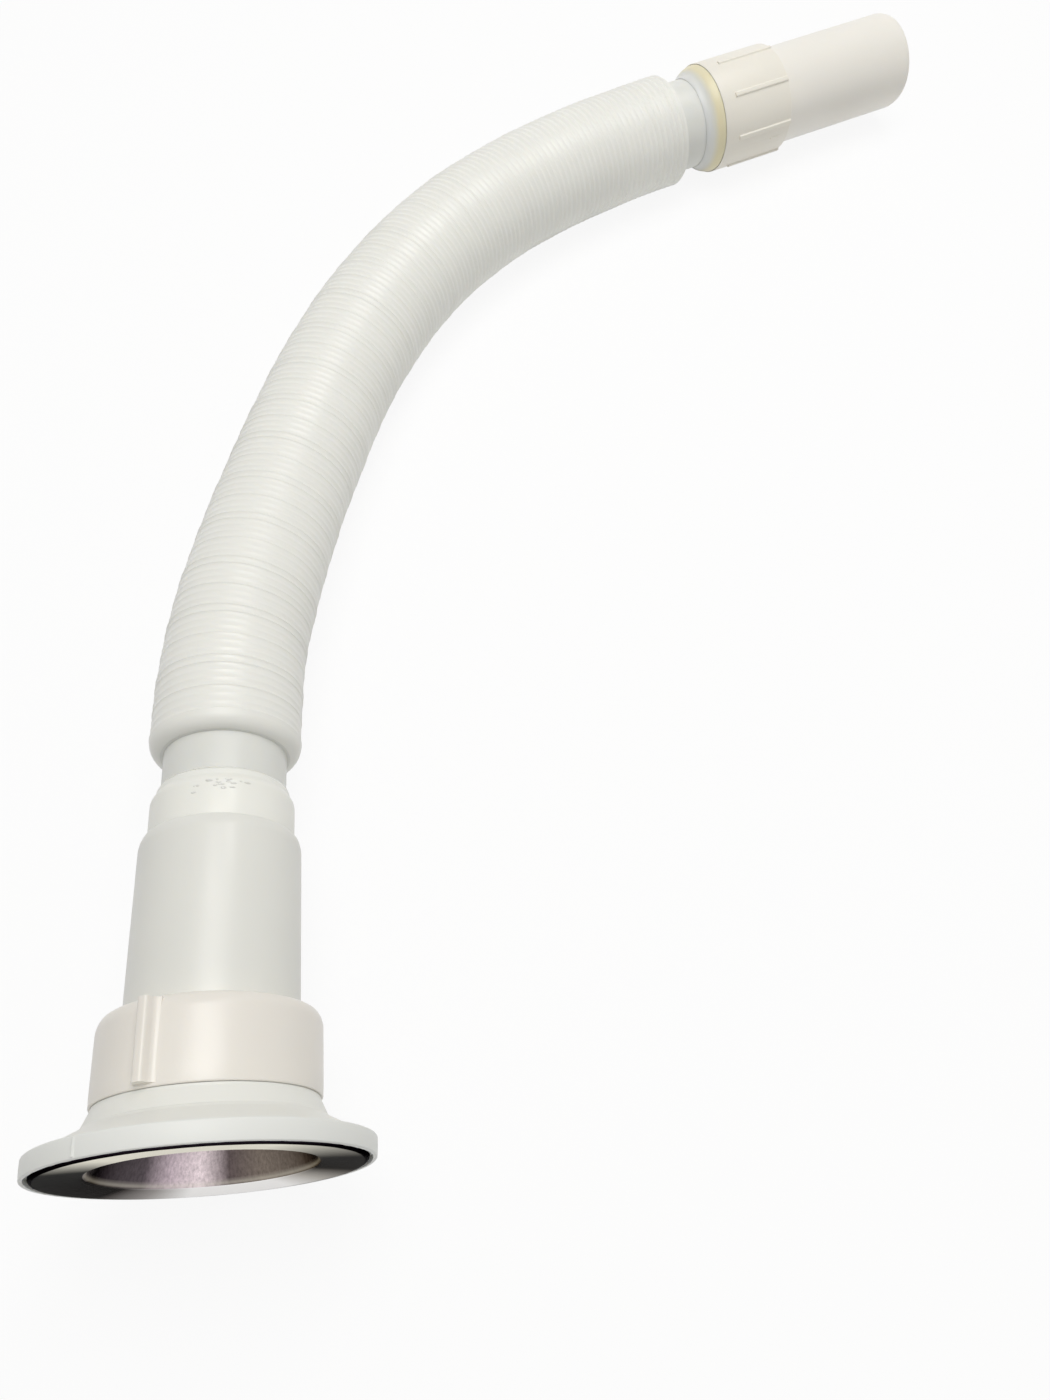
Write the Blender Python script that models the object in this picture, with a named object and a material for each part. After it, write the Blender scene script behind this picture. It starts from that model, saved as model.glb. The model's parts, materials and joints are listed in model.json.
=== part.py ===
"""Flexible sink waste pipe: a steel strainer and union at the sink end, a long corrugated hose lying in a bend, and a
ribbed union with a plain spigot at the outlet end. Metres, +Z up, lying on the plane z = 0.

Each end is turned about its own axis. Distances along an axis are called stations and count from the sink gasket's
front face at the sink end, and from the hose's last fold at the outlet end, both towards the free flow of water."""

import math

import bmesh
import bpy
import numpy as np
from mathutils import Matrix, Vector

MM = 0.001

# Clearances
GAP = 0.3 * MM  # between pieces that touch on the real object
SLIDE_GAP = 0.25 * MM  # between the outlet nut's mouth and the spigot it slides on
THREAD_GAP = 0.5 * MM  # radial, between the sink thread's crests and its nut
OUTLET_THREAD_GAP = 0.4 * MM  # the same at the outlet
HOOK_GAP = 0.4 * MM  # between the soft gasket and the flange it is hooked over

# Hose: one blown piece, a plain neck at each end and pressed-together folds between
NECK_R = 18.3 * MM
NECK_WALL = 1.3 * MM
HOSE_R = 23.0 * MM
HOSE_WALL = 3.8 * MM  # the pressed folds and the skin inside them
FOLD_DEPTH = 0.8 * MM
FOLDS = 138
SHOULDER_LENGTH = 8.5 * MM
NECK_SHOWN = 7.0 * MM
NECK_IN_CUP = 13.5 * MM
SHOULDER_STEPS = 4
HOSE_SIDES = 12
BORE_STEPS = 24

# Where the hose lies, in millimetres and chosen by hand: x and y of its centreline from the first fold to the last,
# counted from the sink gasket, and the height of its underside over the plane
HOSE_START = (0.0, 121.5, 11.8)
ROUTE = (
    (0.3, 138.0, 10.6),
    (1.9, 160.0, 8.8),
    (5.6, 182.0, 6.8),
    (10.6, 204.5, 4.7),
    (16.8, 227.5, 2.9),
    (24.2, 251.0, 1.5),
    (33.0, 275.5, 0.6),
    (44.2, 300.0, 0.15),
    (57.8, 323.5, 0.03),
    (74.3, 345.8, 0.01),
    (93.6, 365.6, 0.01),
    (115.4, 382.4, 0.01),
    (139.4, 396.8, 0.03),
    (164.2, 408.8, 0.1),
)
HOSE_END = (189.5, 419.0, 0.2)
OUTLET_HEADING = 20.0  # degrees from +X, seen from above
BEND_PIVOT = (48.04, 309.0)  # the upright axis that the hose bends about in the plane it lies in
LINE_SAMPLES = 60  # of the centreline between two of its points
LIFT_POWER = 4  # how late along the route a raised outlet lifts the hose

# Hose collar, glued on the hose neck and into the sleeve
COLLAR_WALL = 2.3 * MM
COLLAR_BAND = 11.8 * MM
COLLAR_LIP = 5.0 * MM
COLLAR_SOCKET = 13.7 * MM
COLLAR_STOP = 3.0 * MM
COLLAR_STOP_HEIGHT = 2.0 * MM
COLLAR_STEP_WALL = 0.92 * MM
COLLAR_LIP_WALL = 0.28 * MM
COLLAR_EDGE = 0.4 * MM
NECK_STANDOFF = 2.5 * MM  # the neck's end from the stop in the collar

# Sleeve between the collar and the sink union
SLEEVE_WALL = 2.0 * MM
SLEEVE_LENGTH = 49.0 * MM
SLEEVE_DRAFT = 0.2 * MM
SLEEVE_SHOULDER = 2.8 * MM
SLEEVE_FLANGE = 2.6 * MM
SLEEVE_LEDGE = 3.2 * MM
SLEEVE_MOUTH_EDGE = 0.3 * MM

# Sink union nut
NUT_WALL = 2.35 * MM
NUT_LIP = 2.6 * MM
NUT_ROUND = 4.0 * MM
NUT_EDGE = 1.2 * MM
NUT_MOUTH_GAP = 0.4 * MM
NUT_MOUTH_EDGE = 0.4 * MM
NUT_STANDOFF = 2.0 * MM  # the screwed-up nut from the body's cone
LUG_HEIGHT = 3.6 * MM
LUG_WIDTH = 3.4 * MM
LUG_RISE = 1.3 * MM  # how far a lug stands past the nut's shoulder
LUG_ANGLES = (-124.0, 56.0)  # degrees about the sink axis, -90 being on top

# Washers of both unions
SEAL_THICKNESS = 2.0 * MM
SLIP_THICKNESS = 1.0 * MM
SEAL_WIDTH = 3.8 * MM

# Waste body
BODY_WALL = 2.1 * MM
CONE_LENGTH = 4.8 * MM
CONE_RISE = 3.6 * MM  # the cone's foot past the thread's crests
CONE_TIP = 0.2 * MM  # a low collar where the cone meets the thread
FOOT_STEP = 0.6 * MM
FOOT_HEIGHT = 3.4 * MM
BODY_FLANGE = 3.9 * MM
HUB_R = 7.5 * MM
HUB_LENGTH = 9.5 * MM
HUB_STANDOFF = 1.5 * MM  # from the strainer's floor
HUB_INSET = 0.6 * MM  # from the body's end
SPOKE_WIDTH = 2.2 * MM
SPOKES = 4

# Sink gasket, a soft ring hooked over the body's flange
GASKET_R = 43.0 * MM
GASKET_FACE = 2.2 * MM
GASKET_BACK = 1.9 * MM
GASKET_ROUND = 3.0 * MM
GASKET_EDGE = 0.8 * MM
GASKET_SKIRT = 2.4 * MM

# Steel strainer dish with its clamp screw and the insert that takes it
DISH_INSET = 2.0 * MM  # the flange's edge from the gasket's
DISH_FLARE = 3.7 * MM  # the mouth past the body's bore
DISH_CLEARANCE = 0.7 * MM  # the cup's foot to the body's bore
DISH_TAPER = 1.0 * MM  # how far the mouth has narrowed where the cup's wall gets straight
DISH_DROP = 2.6 * MM  # how far under the mouth that is
MOUTH_ROUND = 1.4 * MM
FLOOR_ROUND = 2.0 * MM
DISH_DEPTH = 17.0 * MM
SHEET = 0.8 * MM
DISH_STANDOFF = 1.3 * MM  # the flange is not pulled tight on the gasket
RIM_CURL = 0.7 * MM
RIM_BEND = 1.1 * MM
DISH_HOLES = 8
DISH_HOLE_R = 3.5 * MM
DISH_HOLE_CIRCLE_R = 13.5 * MM
SCREW_R = 2.9 * MM
SCREW_HEAD_R = 5.2 * MM
SCREW_HEAD = 2.4 * MM
SCREW_HEAD_ROUND = 1.4 * MM
SCREW_TIP = 2.0 * MM
SCREW_TIP_EDGE = 0.8 * MM
SCREW_CORE = 0.02 * MM  # where the turned profile is closed on the axis
INSERT_WALL = 1.8 * MM
INSERT_LENGTH = 6.0 * MM

# Outlet coupling cup, glued on the hose neck, and the union on it
CUP_WALL = 2.3 * MM  # at the thread
SPIGOT_LEDGE = 0.9 * MM  # the cup's thread past the spigot
CUP_TAPER = 4.7 * MM
CUP_BAND = 5.5 * MM
CUP_LIP = 0.7 * MM
CUP_THREAD_LENGTH = 15.0 * MM
CUP_THREAD_STEP = 1.1 * MM
CUP_CORNER = 1.0 * MM
OUTLET_SEAL = 4.1 * MM
OUTLET_NUT_WALL = 1.25 * MM
OUTLET_NUT_LIP = 2.8 * MM
OUTLET_NUT_EDGE = 0.6 * MM
RIBS = 8
RIB_HEIGHT = 0.7 * MM
RIB_WIDTH = 1.8 * MM
RIB_START = 6.5 * MM
RIB_ANGLE = -14.0  # degrees about the outlet axis of the first rib
SPIGOT_R = 20.0 * MM
SPIGOT_WALL = 2.1 * MM
SPIGOT_LENGTH = 66.0 * MM  # past the nut
SPIGOT_ROUND = 1.0 * MM
SPIGOT_FLANGE = 2.2 * MM

# Facets round a circle
WIDE_SIDES = 32
SLIM_SIDES = 24
SMALL_SIDES = 12
RIB_STEPS = 3  # even steps from rib to rib
HUB_STEPS = 2

# For picking faces and corners of a ring
OUTER_SHARE = 0.97
SNAP = 0.1 * MM

# Radii that follow
HOSE_BORE_R = HOSE_R - HOSE_WALL
NECK_BORE_R = NECK_R - NECK_WALL
COLLAR_BORE_R = NECK_R + GAP
COLLAR_R = COLLAR_BORE_R + COLLAR_WALL
SLEEVE_BORE_R = COLLAR_R + GAP
SLEEVE_R = SLEEVE_BORE_R + SLEEVE_WALL
THREAD_R = SLEEVE_R + SLEEVE_LEDGE
BODY_BORE_R = THREAD_R - BODY_WALL
NUT_BORE_R = THREAD_R + THREAD_GAP
NUT_R = NUT_BORE_R + NUT_WALL
CONE_FOOT_R = THREAD_R + CONE_RISE
FOOT_R = CONE_FOOT_R + FOOT_STEP
BODY_FLANGE_R = GASKET_R - GASKET_SKIRT - HOOK_GAP
DISH_R = GASKET_R - DISH_INSET
DISH_MOUTH_R = BODY_BORE_R + DISH_FLARE
INSERT_BORE_R = SCREW_R + GAP
HUB_BORE_R = INSERT_BORE_R + INSERT_WALL + GAP
CUP_BORE_R = NECK_R + GAP
CUP_THREAD_R = max(CUP_BORE_R + CUP_WALL, SPIGOT_R + SPIGOT_LEDGE)
CUP_R = CUP_THREAD_R + CUP_THREAD_STEP
OUTLET_NUT_BORE_R = CUP_THREAD_R + OUTLET_THREAD_GAP
OUTLET_NUT_R = OUTLET_NUT_BORE_R + OUTLET_NUT_WALL
SPIGOT_BORE_R = SPIGOT_R - SPIGOT_WALL
SPIGOT_FLANGE_R = OUTLET_NUT_BORE_R - GAP

# Stations along the sink axis that follow
FLANGE_FRONT = GASKET_FACE + GAP
FLANGE_BACK = FLANGE_FRONT + BODY_FLANGE
GASKET_END = FLANGE_BACK + GAP + GASKET_BACK
FOOT_END = FLANGE_BACK + FOOT_HEIGHT
CONE_END = FOOT_END + CONE_LENGTH
HUB_START = DISH_DEPTH + SHEET + HUB_STANDOFF
HUB_END = HUB_START + HUB_LENGTH
SCREW_END = HUB_END + SCREW_TIP
BODY_END = HUB_END + HUB_INSET
NUT_START = CONE_END + NUT_STANDOFF
SEAL_START = BODY_END + GAP
SLEEVE_START = SEAL_START + SEAL_THICKNESS + GAP
SLEEVE_FLANGE_END = SLEEVE_START + SLEEVE_FLANGE
SLIP_START = SLEEVE_FLANGE_END + GAP
NUT_SEAT = SLIP_START + SLIP_THICKNESS + GAP
NUT_END = NUT_SEAT + NUT_LIP
SLEEVE_END = NUT_END + SLEEVE_LENGTH
COLLAR_START = SLEEVE_END - COLLAR_SOCKET
COLLAR_STOP_END = COLLAR_START + COLLAR_STOP
COLLAR_BAND_END = SLEEVE_END + COLLAR_BAND
COLLAR_END = COLLAR_BAND_END + COLLAR_LIP
NECK_START = COLLAR_STOP_END + NECK_STANDOFF
FIRST_FOLD = COLLAR_END + NECK_SHOWN + SHOULDER_LENGTH

# Stations along the outlet axis that follow
CUP_START = SHOULDER_LENGTH + NECK_SHOWN
CUP_FULL = CUP_START + CUP_TAPER
CUP_SHOULDER = CUP_FULL + CUP_BAND
CUP_NECK_STOP = CUP_START + NECK_IN_CUP + GAP
CUP_END = CUP_SHOULDER + CUP_THREAD_LENGTH
OUTLET_SEAL_START = CUP_END + GAP
SPIGOT_START = OUTLET_SEAL_START + OUTLET_SEAL + GAP
SPIGOT_FLANGE_END = SPIGOT_START + SPIGOT_FLANGE
OUTLET_SLIP_START = SPIGOT_FLANGE_END + GAP
OUTLET_NUT_SEAT = OUTLET_SLIP_START + SLIP_THICKNESS + GAP
OUTLET_NUT_START = CUP_SHOULDER + GAP
OUTLET_NUT_END = OUTLET_NUT_SEAT + OUTLET_NUT_LIP
SPIGOT_END = OUTLET_NUT_END + SPIGOT_LENGTH


def clear_scene():
    for item in list(bpy.data.objects):
        bpy.data.objects.remove(item, do_unlink=True)


def material(name, colour, roughness, metallic=0.0):
    """A Principled material in the piece's own colour."""
    made = bpy.data.materials.new(name)
    made.use_nodes = True
    shader = made.node_tree.nodes["Principled BSDF"]
    shader.inputs["Base Color"].default_value = (*colour, 1.0)
    shader.inputs["Roughness"].default_value = roughness
    shader.inputs["Metallic"].default_value = metallic
    return made


def arc(centre, radius, start, end, steps):
    """Points (radius, station) of a round stretch of a profile, from one angle in degrees to another."""
    angles = [math.radians(start + (end - start) * i / steps) for i in range(steps + 1)]
    return [(centre[0] + radius * math.cos(a), centre[1] + radius * math.sin(a)) for a in angles]


def quarter(outer_r, inner_r, start, length, steps):
    """Points (radius, station) of a rounded shoulder: a quarter of an ellipse from the outer radius to the inner."""
    turns = [math.pi / 2 * i / steps for i in range(1, steps + 1)]
    return [(inner_r + (outer_r - inner_r) * math.cos(a), start + length * math.sin(a)) for a in turns]


def even_angles(sides):
    return [math.tau * i / sides for i in range(sides)]


def ribbed_angles(centres, half_width, between):
    """Angles round a ring with an edge on each side of every rib, and `between` even steps from rib to rib."""
    angles = []
    centres = sorted(math.radians(c) % math.tau for c in centres)
    for here, after in zip(centres, centres[1:] + [centres[0] + math.tau]):
        start, end = here + half_width, after - half_width
        angles.append(here - half_width)
        angles += [start + (end - start) * i / between for i in range(between)]
    return angles


def turned(profile, angles):
    """A bmesh ring: a closed profile of (radius, station) points, turned about local Z."""
    mesh = bmesh.new()
    rings = [[mesh.verts.new((r * math.cos(a), r * math.sin(a), s)) for r, s in profile] for a in angles]
    for here, after in zip(rings, rings[1:] + rings[:1]):
        for i in range(len(profile)):
            j = (i + 1) % len(profile)
            mesh.faces.new((here[i], after[i], after[j], here[j]))
    bmesh.ops.recalc_face_normals(mesh, faces=mesh.faces)
    return mesh


def raise_ribs(mesh, centres, half_width, radius, height, stations, rise=0.0):
    """Extrudes the faces of a turned ring that lie at the given angles and stations outwards, as moulded ribs."""
    for centre in (math.radians(c) for c in centres):
        picked = []
        for face in mesh.faces:
            middle = face.calc_center_median()
            turn = math.atan2(middle.y, middle.x) - centre
            turn = abs((turn + math.pi) % math.tau - math.pi)
            outside = math.hypot(middle.x, middle.y) > radius * OUTER_SHARE
            if turn < half_width and outside and stations[0] < middle.z < stations[1]:
                picked.append(face)
        grown = bmesh.ops.extrude_face_region(mesh, geom=picked)["geom"]
        bmesh.ops.delete(mesh, geom=picked, context="FACES")
        corners = [v for v in grown if isinstance(v, bmesh.types.BMVert)]
        outward = Vector((math.cos(centre), math.sin(centre), 0.0)) * height
        bmesh.ops.translate(mesh, verts=corners, vec=outward)
        top = max(v.co.z for v in corners)
        for corner in corners:
            if corner.co.z > top - SNAP:
                corner.co.z += rise
    bmesh.ops.recalc_face_normals(mesh, faces=mesh.faces)


def finish(name, mesh, look, parent=None):
    """Makes the named object from a bmesh, shaded smooth with its corners kept sharp."""
    data = bpy.data.meshes.new(name)
    mesh.to_mesh(data)
    mesh.free()
    data.shade_smooth()
    data.set_sharp_from_angle(angle=math.radians(35))
    data.materials.append(look)
    made = bpy.data.objects.new(name, data)
    bpy.context.scene.collection.objects.link(made)
    made.parent = parent
    return made


def axis_empty(name, point, direction, sideways, parent=None):
    """An empty whose local Z is a piece's axis and whose local X is `sideways`, carried by its parent."""
    along = Vector(direction).normalized()
    side = Vector(sideways).normalized()
    turn = Matrix((side, along.cross(side), along)).transposed().to_4x4()
    made = bpy.data.objects.new(name, None)
    bpy.context.scene.collection.objects.link(made)
    made.matrix_world = Matrix.Translation(point) @ turn
    if parent:
        made.parent = parent
        made.matrix_parent_inverse = parent.matrix_world.inverted()
    return made


def cut(target, cutter_name, cutter_mesh, operation="DIFFERENCE"):
    """A live Boolean with its own cutter, which is kept out of the model."""
    data = bpy.data.meshes.new(cutter_name)
    cutter_mesh.to_mesh(data)
    cutter_mesh.free()
    cutter = bpy.data.objects.new(cutter_name, data)
    bpy.context.scene.collection.objects.link(cutter)
    cutter.parent = target.parent
    cutter.hide_render = True
    cutter.display_type = "WIRE"
    boolean = target.modifiers.new(cutter_name, "BOOLEAN")
    boolean.operation = operation
    boolean.solver = "EXACT"
    boolean.object = cutter


def offset_sheet(line, thickness):
    """A closed profile from a sheet's middle line: its points moved half a thickness to each side."""
    half = thickness / 2
    points = [Vector(p) for p in line]
    sides = []
    for i, point in enumerate(points):
        before = (point - points[max(i - 1, 0)]).normalized() if i else None
        after = (points[min(i + 1, len(points) - 1)] - point).normalized() if i < len(points) - 1 else None
        legs = [leg for leg in (before, after) if leg is not None]
        normals = [Vector((-leg.y, leg.x)) for leg in legs]
        mean = sum(normals, Vector((0, 0))).normalized()
        sides.append(mean * half / max(mean.dot(normals[0]), 0.5))
    left = [tuple(p + n) for p, n in zip(points, sides)]
    right = [tuple(p - n) for p, n in zip(points, sides)]
    return left + right[::-1]


def plan_point(point):
    """A point of the hose's centreline from its place on the plan and the height of the hose's underside there."""
    return Vector((point[0] * MM, point[1] * MM, point[2] * MM + HOSE_R))


def sink_tilt():
    """The angle at which the gasket's rim touches the plane while the first fold is at its height."""
    start_height = plan_point(HOSE_START).z
    reach = FIRST_FOLD - (GASKET_END - GASKET_ROUND)
    return math.acos(start_height / math.hypot(GASKET_R, reach)) - math.atan2(reach, GASKET_R)


def nut_reach():
    """How far the ribbed nut reaches under its axis."""
    half = RIB_WIDTH / 2 / OUTLET_NUT_R
    ribs = [math.radians(RIB_ANGLE + 360.0 * i / RIBS) for i in range(RIBS)]
    lowest = max(math.sin(rib + side * half) for rib in ribs for side in (-1, 1))
    return max(OUTLET_NUT_R, (OUTLET_NUT_R + RIB_HEIGHT) * lowest)


def route_points():
    """The centreline's points; a ribbed nut too big for the hose's height lifts its last stretch."""
    points = [plan_point(p) for p in (HOSE_START, *ROUTE, HOSE_END)]
    lift = max(nut_reach() - points[-1].z, 0.0)
    for i, point in enumerate(points):
        point.z += lift * (i / (len(points) - 1)) ** LIFT_POWER
    return points


def smooth_line(points, start_way, end_way):
    """Samples a cubic spline through the points, leaving the first and reaching the last in the given directions."""
    points = np.array(points, float)
    spans = np.linalg.norm(np.diff(points, axis=0), axis=1)
    count = len(points)
    matrix = np.zeros((count, count))
    right = np.zeros((count, 3))
    matrix[0, 0] = matrix[-1, -1] = 1.0
    right[0], right[-1] = start_way, end_way
    for i in range(1, count - 1):
        before, after = spans[i - 1], spans[i]
        matrix[i, i - 1 : i + 2] = after, 2 * (before + after), before
        slope_before = (points[i] - points[i - 1]) / before
        slope_after = (points[i + 1] - points[i]) / after
        right[i] = 3 * (after * slope_before + before * slope_after)
    slopes = np.linalg.solve(matrix, right)
    line = []
    for i in range(count - 1):
        for t in np.linspace(0, 1, LINE_SAMPLES, endpoint=i == count - 2):
            line.append(
                (2 * t**3 - 3 * t**2 + 1) * points[i]
                + (t**3 - 2 * t**2 + t) * spans[i] * slopes[i]
                + (3 * t**2 - 2 * t**3) * points[i + 1]
                + (t**3 - t**2) * spans[i] * slopes[i + 1]
            )
    return np.array(line)


class Centreline:
    """The hose's centreline: straight along each neck's axis, and a smooth curve between."""

    def __init__(self, start_way, end_way):
        self.line = smooth_line([tuple(p) for p in route_points()], tuple(start_way), tuple(end_way))
        steps = np.linalg.norm(np.diff(self.line, axis=0), axis=1)
        self.reach = np.concatenate(([0.0], np.cumsum(steps)))
        self.length = float(self.reach[-1])
        self.start_way, self.end_way = np.array(start_way), np.array(end_way)

    def point(self, along):
        if along < 0:
            return self.line[0] + self.start_way * along
        if along > self.length:
            return self.line[-1] + self.end_way * (along - self.length)
        return np.array([np.interp(along, self.reach, self.line[:, i]) for i in range(3)])

    def ring(self, mesh, along, radius, sides):
        """New vertices of a circle round the centreline, with one of them at its lowest point."""
        step = 0.5 * MM
        way = Vector(self.point(along + step) - self.point(along - step)).normalized()
        side = way.cross(Vector((0, 0, 1))).normalized()
        up = side.cross(way)
        middle = Vector(self.point(along))
        turns = [math.tau * i / sides - math.pi / 2 for i in range(sides)]
        return [mesh.verts.new(middle + radius * (math.cos(a) * side + math.sin(a) * up)) for a in turns]


def hose_stations(length):
    """(distance, radius) down the outside of the hose and back up its bore."""
    rounded = quarter(HOSE_R, NECK_R, 0.0, SHOULDER_LENGTH, SHOULDER_STEPS)
    outside = [(NECK_START - FIRST_FOLD, NECK_R)]
    outside += [(-along, radius) for radius, along in rounded[::-1]]
    pitch = length / FOLDS
    for i in range(FOLDS):
        outside.append((i * pitch, HOSE_R))
        outside.append(((i + 0.5) * pitch, HOSE_R - FOLD_DEPTH))
    outside.append((length, HOSE_R))
    outside += [(length + along, radius) for radius, along in rounded]
    outside.append((length + CUP_START + NECK_IN_CUP, NECK_R))
    bore = [(outside[0][0], NECK_BORE_R), (-SHOULDER_LENGTH, NECK_BORE_R)]
    bore += [(length * i / BORE_STEPS, HOSE_BORE_R) for i in range(BORE_STEPS + 1)]
    bore += [(length + SHOULDER_LENGTH, NECK_BORE_R), (outside[-1][0], NECK_BORE_R)]
    return outside + bore[::-1]


def build_hose(centreline, look):
    mesh = bmesh.new()
    stations = hose_stations(centreline.length)
    rings = [centreline.ring(mesh, along, radius, HOSE_SIDES) for along, radius in stations]
    for here, after in zip(rings, rings[1:] + rings[:1]):
        for i in range(HOSE_SIDES):
            j = (i + 1) % HOSE_SIDES
            mesh.faces.new((here[i], here[j], after[j], after[i]))
    bmesh.ops.recalc_face_normals(mesh, faces=mesh.faces)
    return finish("hose", mesh, look)


def build_gasket(axis, look):
    """The soft ring; its flat front runs on past the strainer's flange, where a sink's underside lies on it."""
    skirt_r = GASKET_R - GASKET_SKIRT
    hook_r = FOOT_R + HOOK_GAP
    end_round = GASKET_END - GASKET_ROUND
    profile = [
        (FOOT_R, 0.0),
        (DISH_R + GAP, 0.0),
        (GASKET_R - GASKET_EDGE, 0.0),
        (GASKET_R, GASKET_EDGE),
        *arc((GASKET_R - GASKET_ROUND, end_round), GASKET_ROUND, 0, 90, 3),
        (hook_r, GASKET_END),
        (hook_r, GASKET_END - GASKET_BACK),
        (skirt_r, GASKET_END - GASKET_BACK),
        (skirt_r, GASKET_FACE),
        (FOOT_R, GASKET_FACE),
    ]
    return finish("sink_gasket", turned(profile, even_angles(WIDE_SIDES)), look, axis)


def build_body(axis, look):
    cone_bore_r = CONE_FOOT_R - BODY_WALL
    profile = [
        (cone_bore_r, FLANGE_FRONT),
        (BODY_FLANGE_R, FLANGE_FRONT),
        (BODY_FLANGE_R, FLANGE_BACK),
        (FOOT_R, FLANGE_BACK),
        (FOOT_R, FOOT_END),
        (CONE_FOOT_R, FOOT_END),
        (THREAD_R + CONE_TIP, CONE_END),
        (THREAD_R, CONE_END + 2 * CONE_TIP),
        (THREAD_R, BODY_END),
        (BODY_BORE_R, BODY_END),
        (BODY_BORE_R, CONE_END),
        (cone_bore_r, FOOT_END),
    ]
    body = finish("waste_body", turned(profile, even_angles(WIDE_SIDES)), look, axis)
    cut(body, "hub_and_spokes", hub_and_spokes(), "UNION")
    return body


def hub_and_spokes():
    """The spider across the outlet: four webs from the wall to a hub that holds the screw's insert."""
    profile = [(HUB_BORE_R, HUB_START), (HUB_R, HUB_START), (HUB_R, HUB_END), (HUB_BORE_R, HUB_END)]
    half = SPOKE_WIDTH / 2 / HUB_R
    centres = [45.0 + 360.0 * i / SPOKES for i in range(SPOKES)]
    mesh = turned(profile, ribbed_angles(centres, half, HUB_STEPS))
    reach = BODY_BORE_R + BODY_WALL / 2 - HUB_R
    raise_ribs(mesh, centres, half, HUB_R, reach, (HUB_START, HUB_END))
    return mesh


def build_insert(axis, look):
    start = (HUB_START + HUB_END - INSERT_LENGTH) / 2
    outer_r = INSERT_BORE_R + INSERT_WALL
    end = start + INSERT_LENGTH
    profile = [(INSERT_BORE_R, start), (outer_r, start), (outer_r, end), (INSERT_BORE_R, end)]
    return finish("screw_insert", turned(profile, even_angles(SMALL_SIDES)), look, axis)


def build_dish(axis, look):
    """The pressed strainer: flat flange with a curled rim, rounded mouth, steep cup and perforated floor."""
    floor_line = DISH_DEPTH + SHEET / 2
    flange_line = -DISH_STANDOFF - SHEET / 2
    foot_r = BODY_BORE_R - DISH_CLEARANCE - SHEET / 2
    mouth = (DISH_MOUTH_R + MOUTH_ROUND, flange_line + MOUTH_ROUND)
    rim_r = DISH_R - GAP
    line = [
        (INSERT_BORE_R, floor_line),
        *arc((foot_r - FLOOR_ROUND, floor_line - FLOOR_ROUND), FLOOR_ROUND, 90, 0, 2),
        (DISH_MOUTH_R - DISH_TAPER, mouth[1] + DISH_DROP),
        *arc(mouth, MOUTH_ROUND, 180, 270, 2),
        (rim_r - RIM_BEND, flange_line),
        (rim_r, flange_line + RIM_CURL),
    ]
    dish = finish("strainer_dish", turned(offset_sheet(line, SHEET), even_angles(WIDE_SIDES)), look, axis)
    holes = bmesh.new()
    for i in range(DISH_HOLES):
        turn = math.tau * (i + 0.5) / DISH_HOLES
        place = Vector((math.cos(turn), math.sin(turn), 0.0)) * DISH_HOLE_CIRCLE_R
        place.z = floor_line
        bmesh.ops.create_cone(
            holes,
            cap_ends=True,
            segments=SMALL_SIDES,
            radius1=DISH_HOLE_R,
            radius2=DISH_HOLE_R,
            depth=4 * SHEET,
            matrix=Matrix.Translation(place),
        )
    cut(dish, "dish_holes", holes)
    return dish


def build_screw(axis, look):
    head_back = DISH_DEPTH - GAP
    head_front = head_back - SCREW_HEAD
    profile = [
        (SCREW_CORE, head_front),
        (SCREW_HEAD_R - SCREW_HEAD_ROUND, head_front),
        (SCREW_HEAD_R, head_front + SCREW_HEAD_ROUND),
        (SCREW_HEAD_R, head_back),
        (SCREW_R, head_back),
        (SCREW_R, SCREW_END - SCREW_TIP_EDGE),
        (SCREW_R - SCREW_TIP_EDGE, SCREW_END),
        (SCREW_CORE, SCREW_END),
    ]
    mesh = turned(profile, even_angles(SMALL_SIDES))
    inner = [f for f in mesh.faces if max(math.hypot(v.co.x, v.co.y) for v in f.verts) < 2 * SCREW_CORE]
    bmesh.ops.delete(mesh, geom=inner, context="FACES")
    bmesh.ops.remove_doubles(mesh, verts=mesh.verts, dist=3 * SCREW_CORE)
    bmesh.ops.recalc_face_normals(mesh, faces=mesh.faces)
    return finish("clamp_screw", mesh, look, axis)


def ring_washer(name, inner_r, outer_r, start, thickness, axis, look):
    profile = [(inner_r, start), (outer_r, start), (outer_r, start + thickness), (inner_r, start + thickness)]
    return finish(name, turned(profile, even_angles(SLIM_SIDES)), look, axis)


def build_sink_nut(axis, look):
    mouth_r = SLEEVE_R + NUT_MOUTH_GAP
    profile = [
        (NUT_BORE_R, NUT_START),
        (NUT_R - NUT_EDGE, NUT_START),
        (NUT_R, NUT_START + NUT_EDGE),
        *arc((NUT_R - NUT_ROUND, NUT_END - NUT_ROUND), NUT_ROUND, 0, 75, 3),
        (mouth_r + NUT_MOUTH_EDGE, NUT_END),
        (mouth_r, NUT_END - NUT_MOUTH_EDGE),
        (mouth_r, NUT_SEAT),
        (NUT_BORE_R, NUT_SEAT),
    ]
    half = LUG_WIDTH / 2 / NUT_R
    mesh = turned(profile, ribbed_angles(LUG_ANGLES, half, WIDE_SIDES // 2 - 1))
    lug_end = NUT_END - NUT_ROUND / 2
    raise_ribs(mesh, LUG_ANGLES, half, NUT_R, LUG_HEIGHT, (NUT_START + NUT_EDGE, lug_end), LUG_RISE)
    return finish("sink_union_nut", mesh, look, axis)


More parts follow.
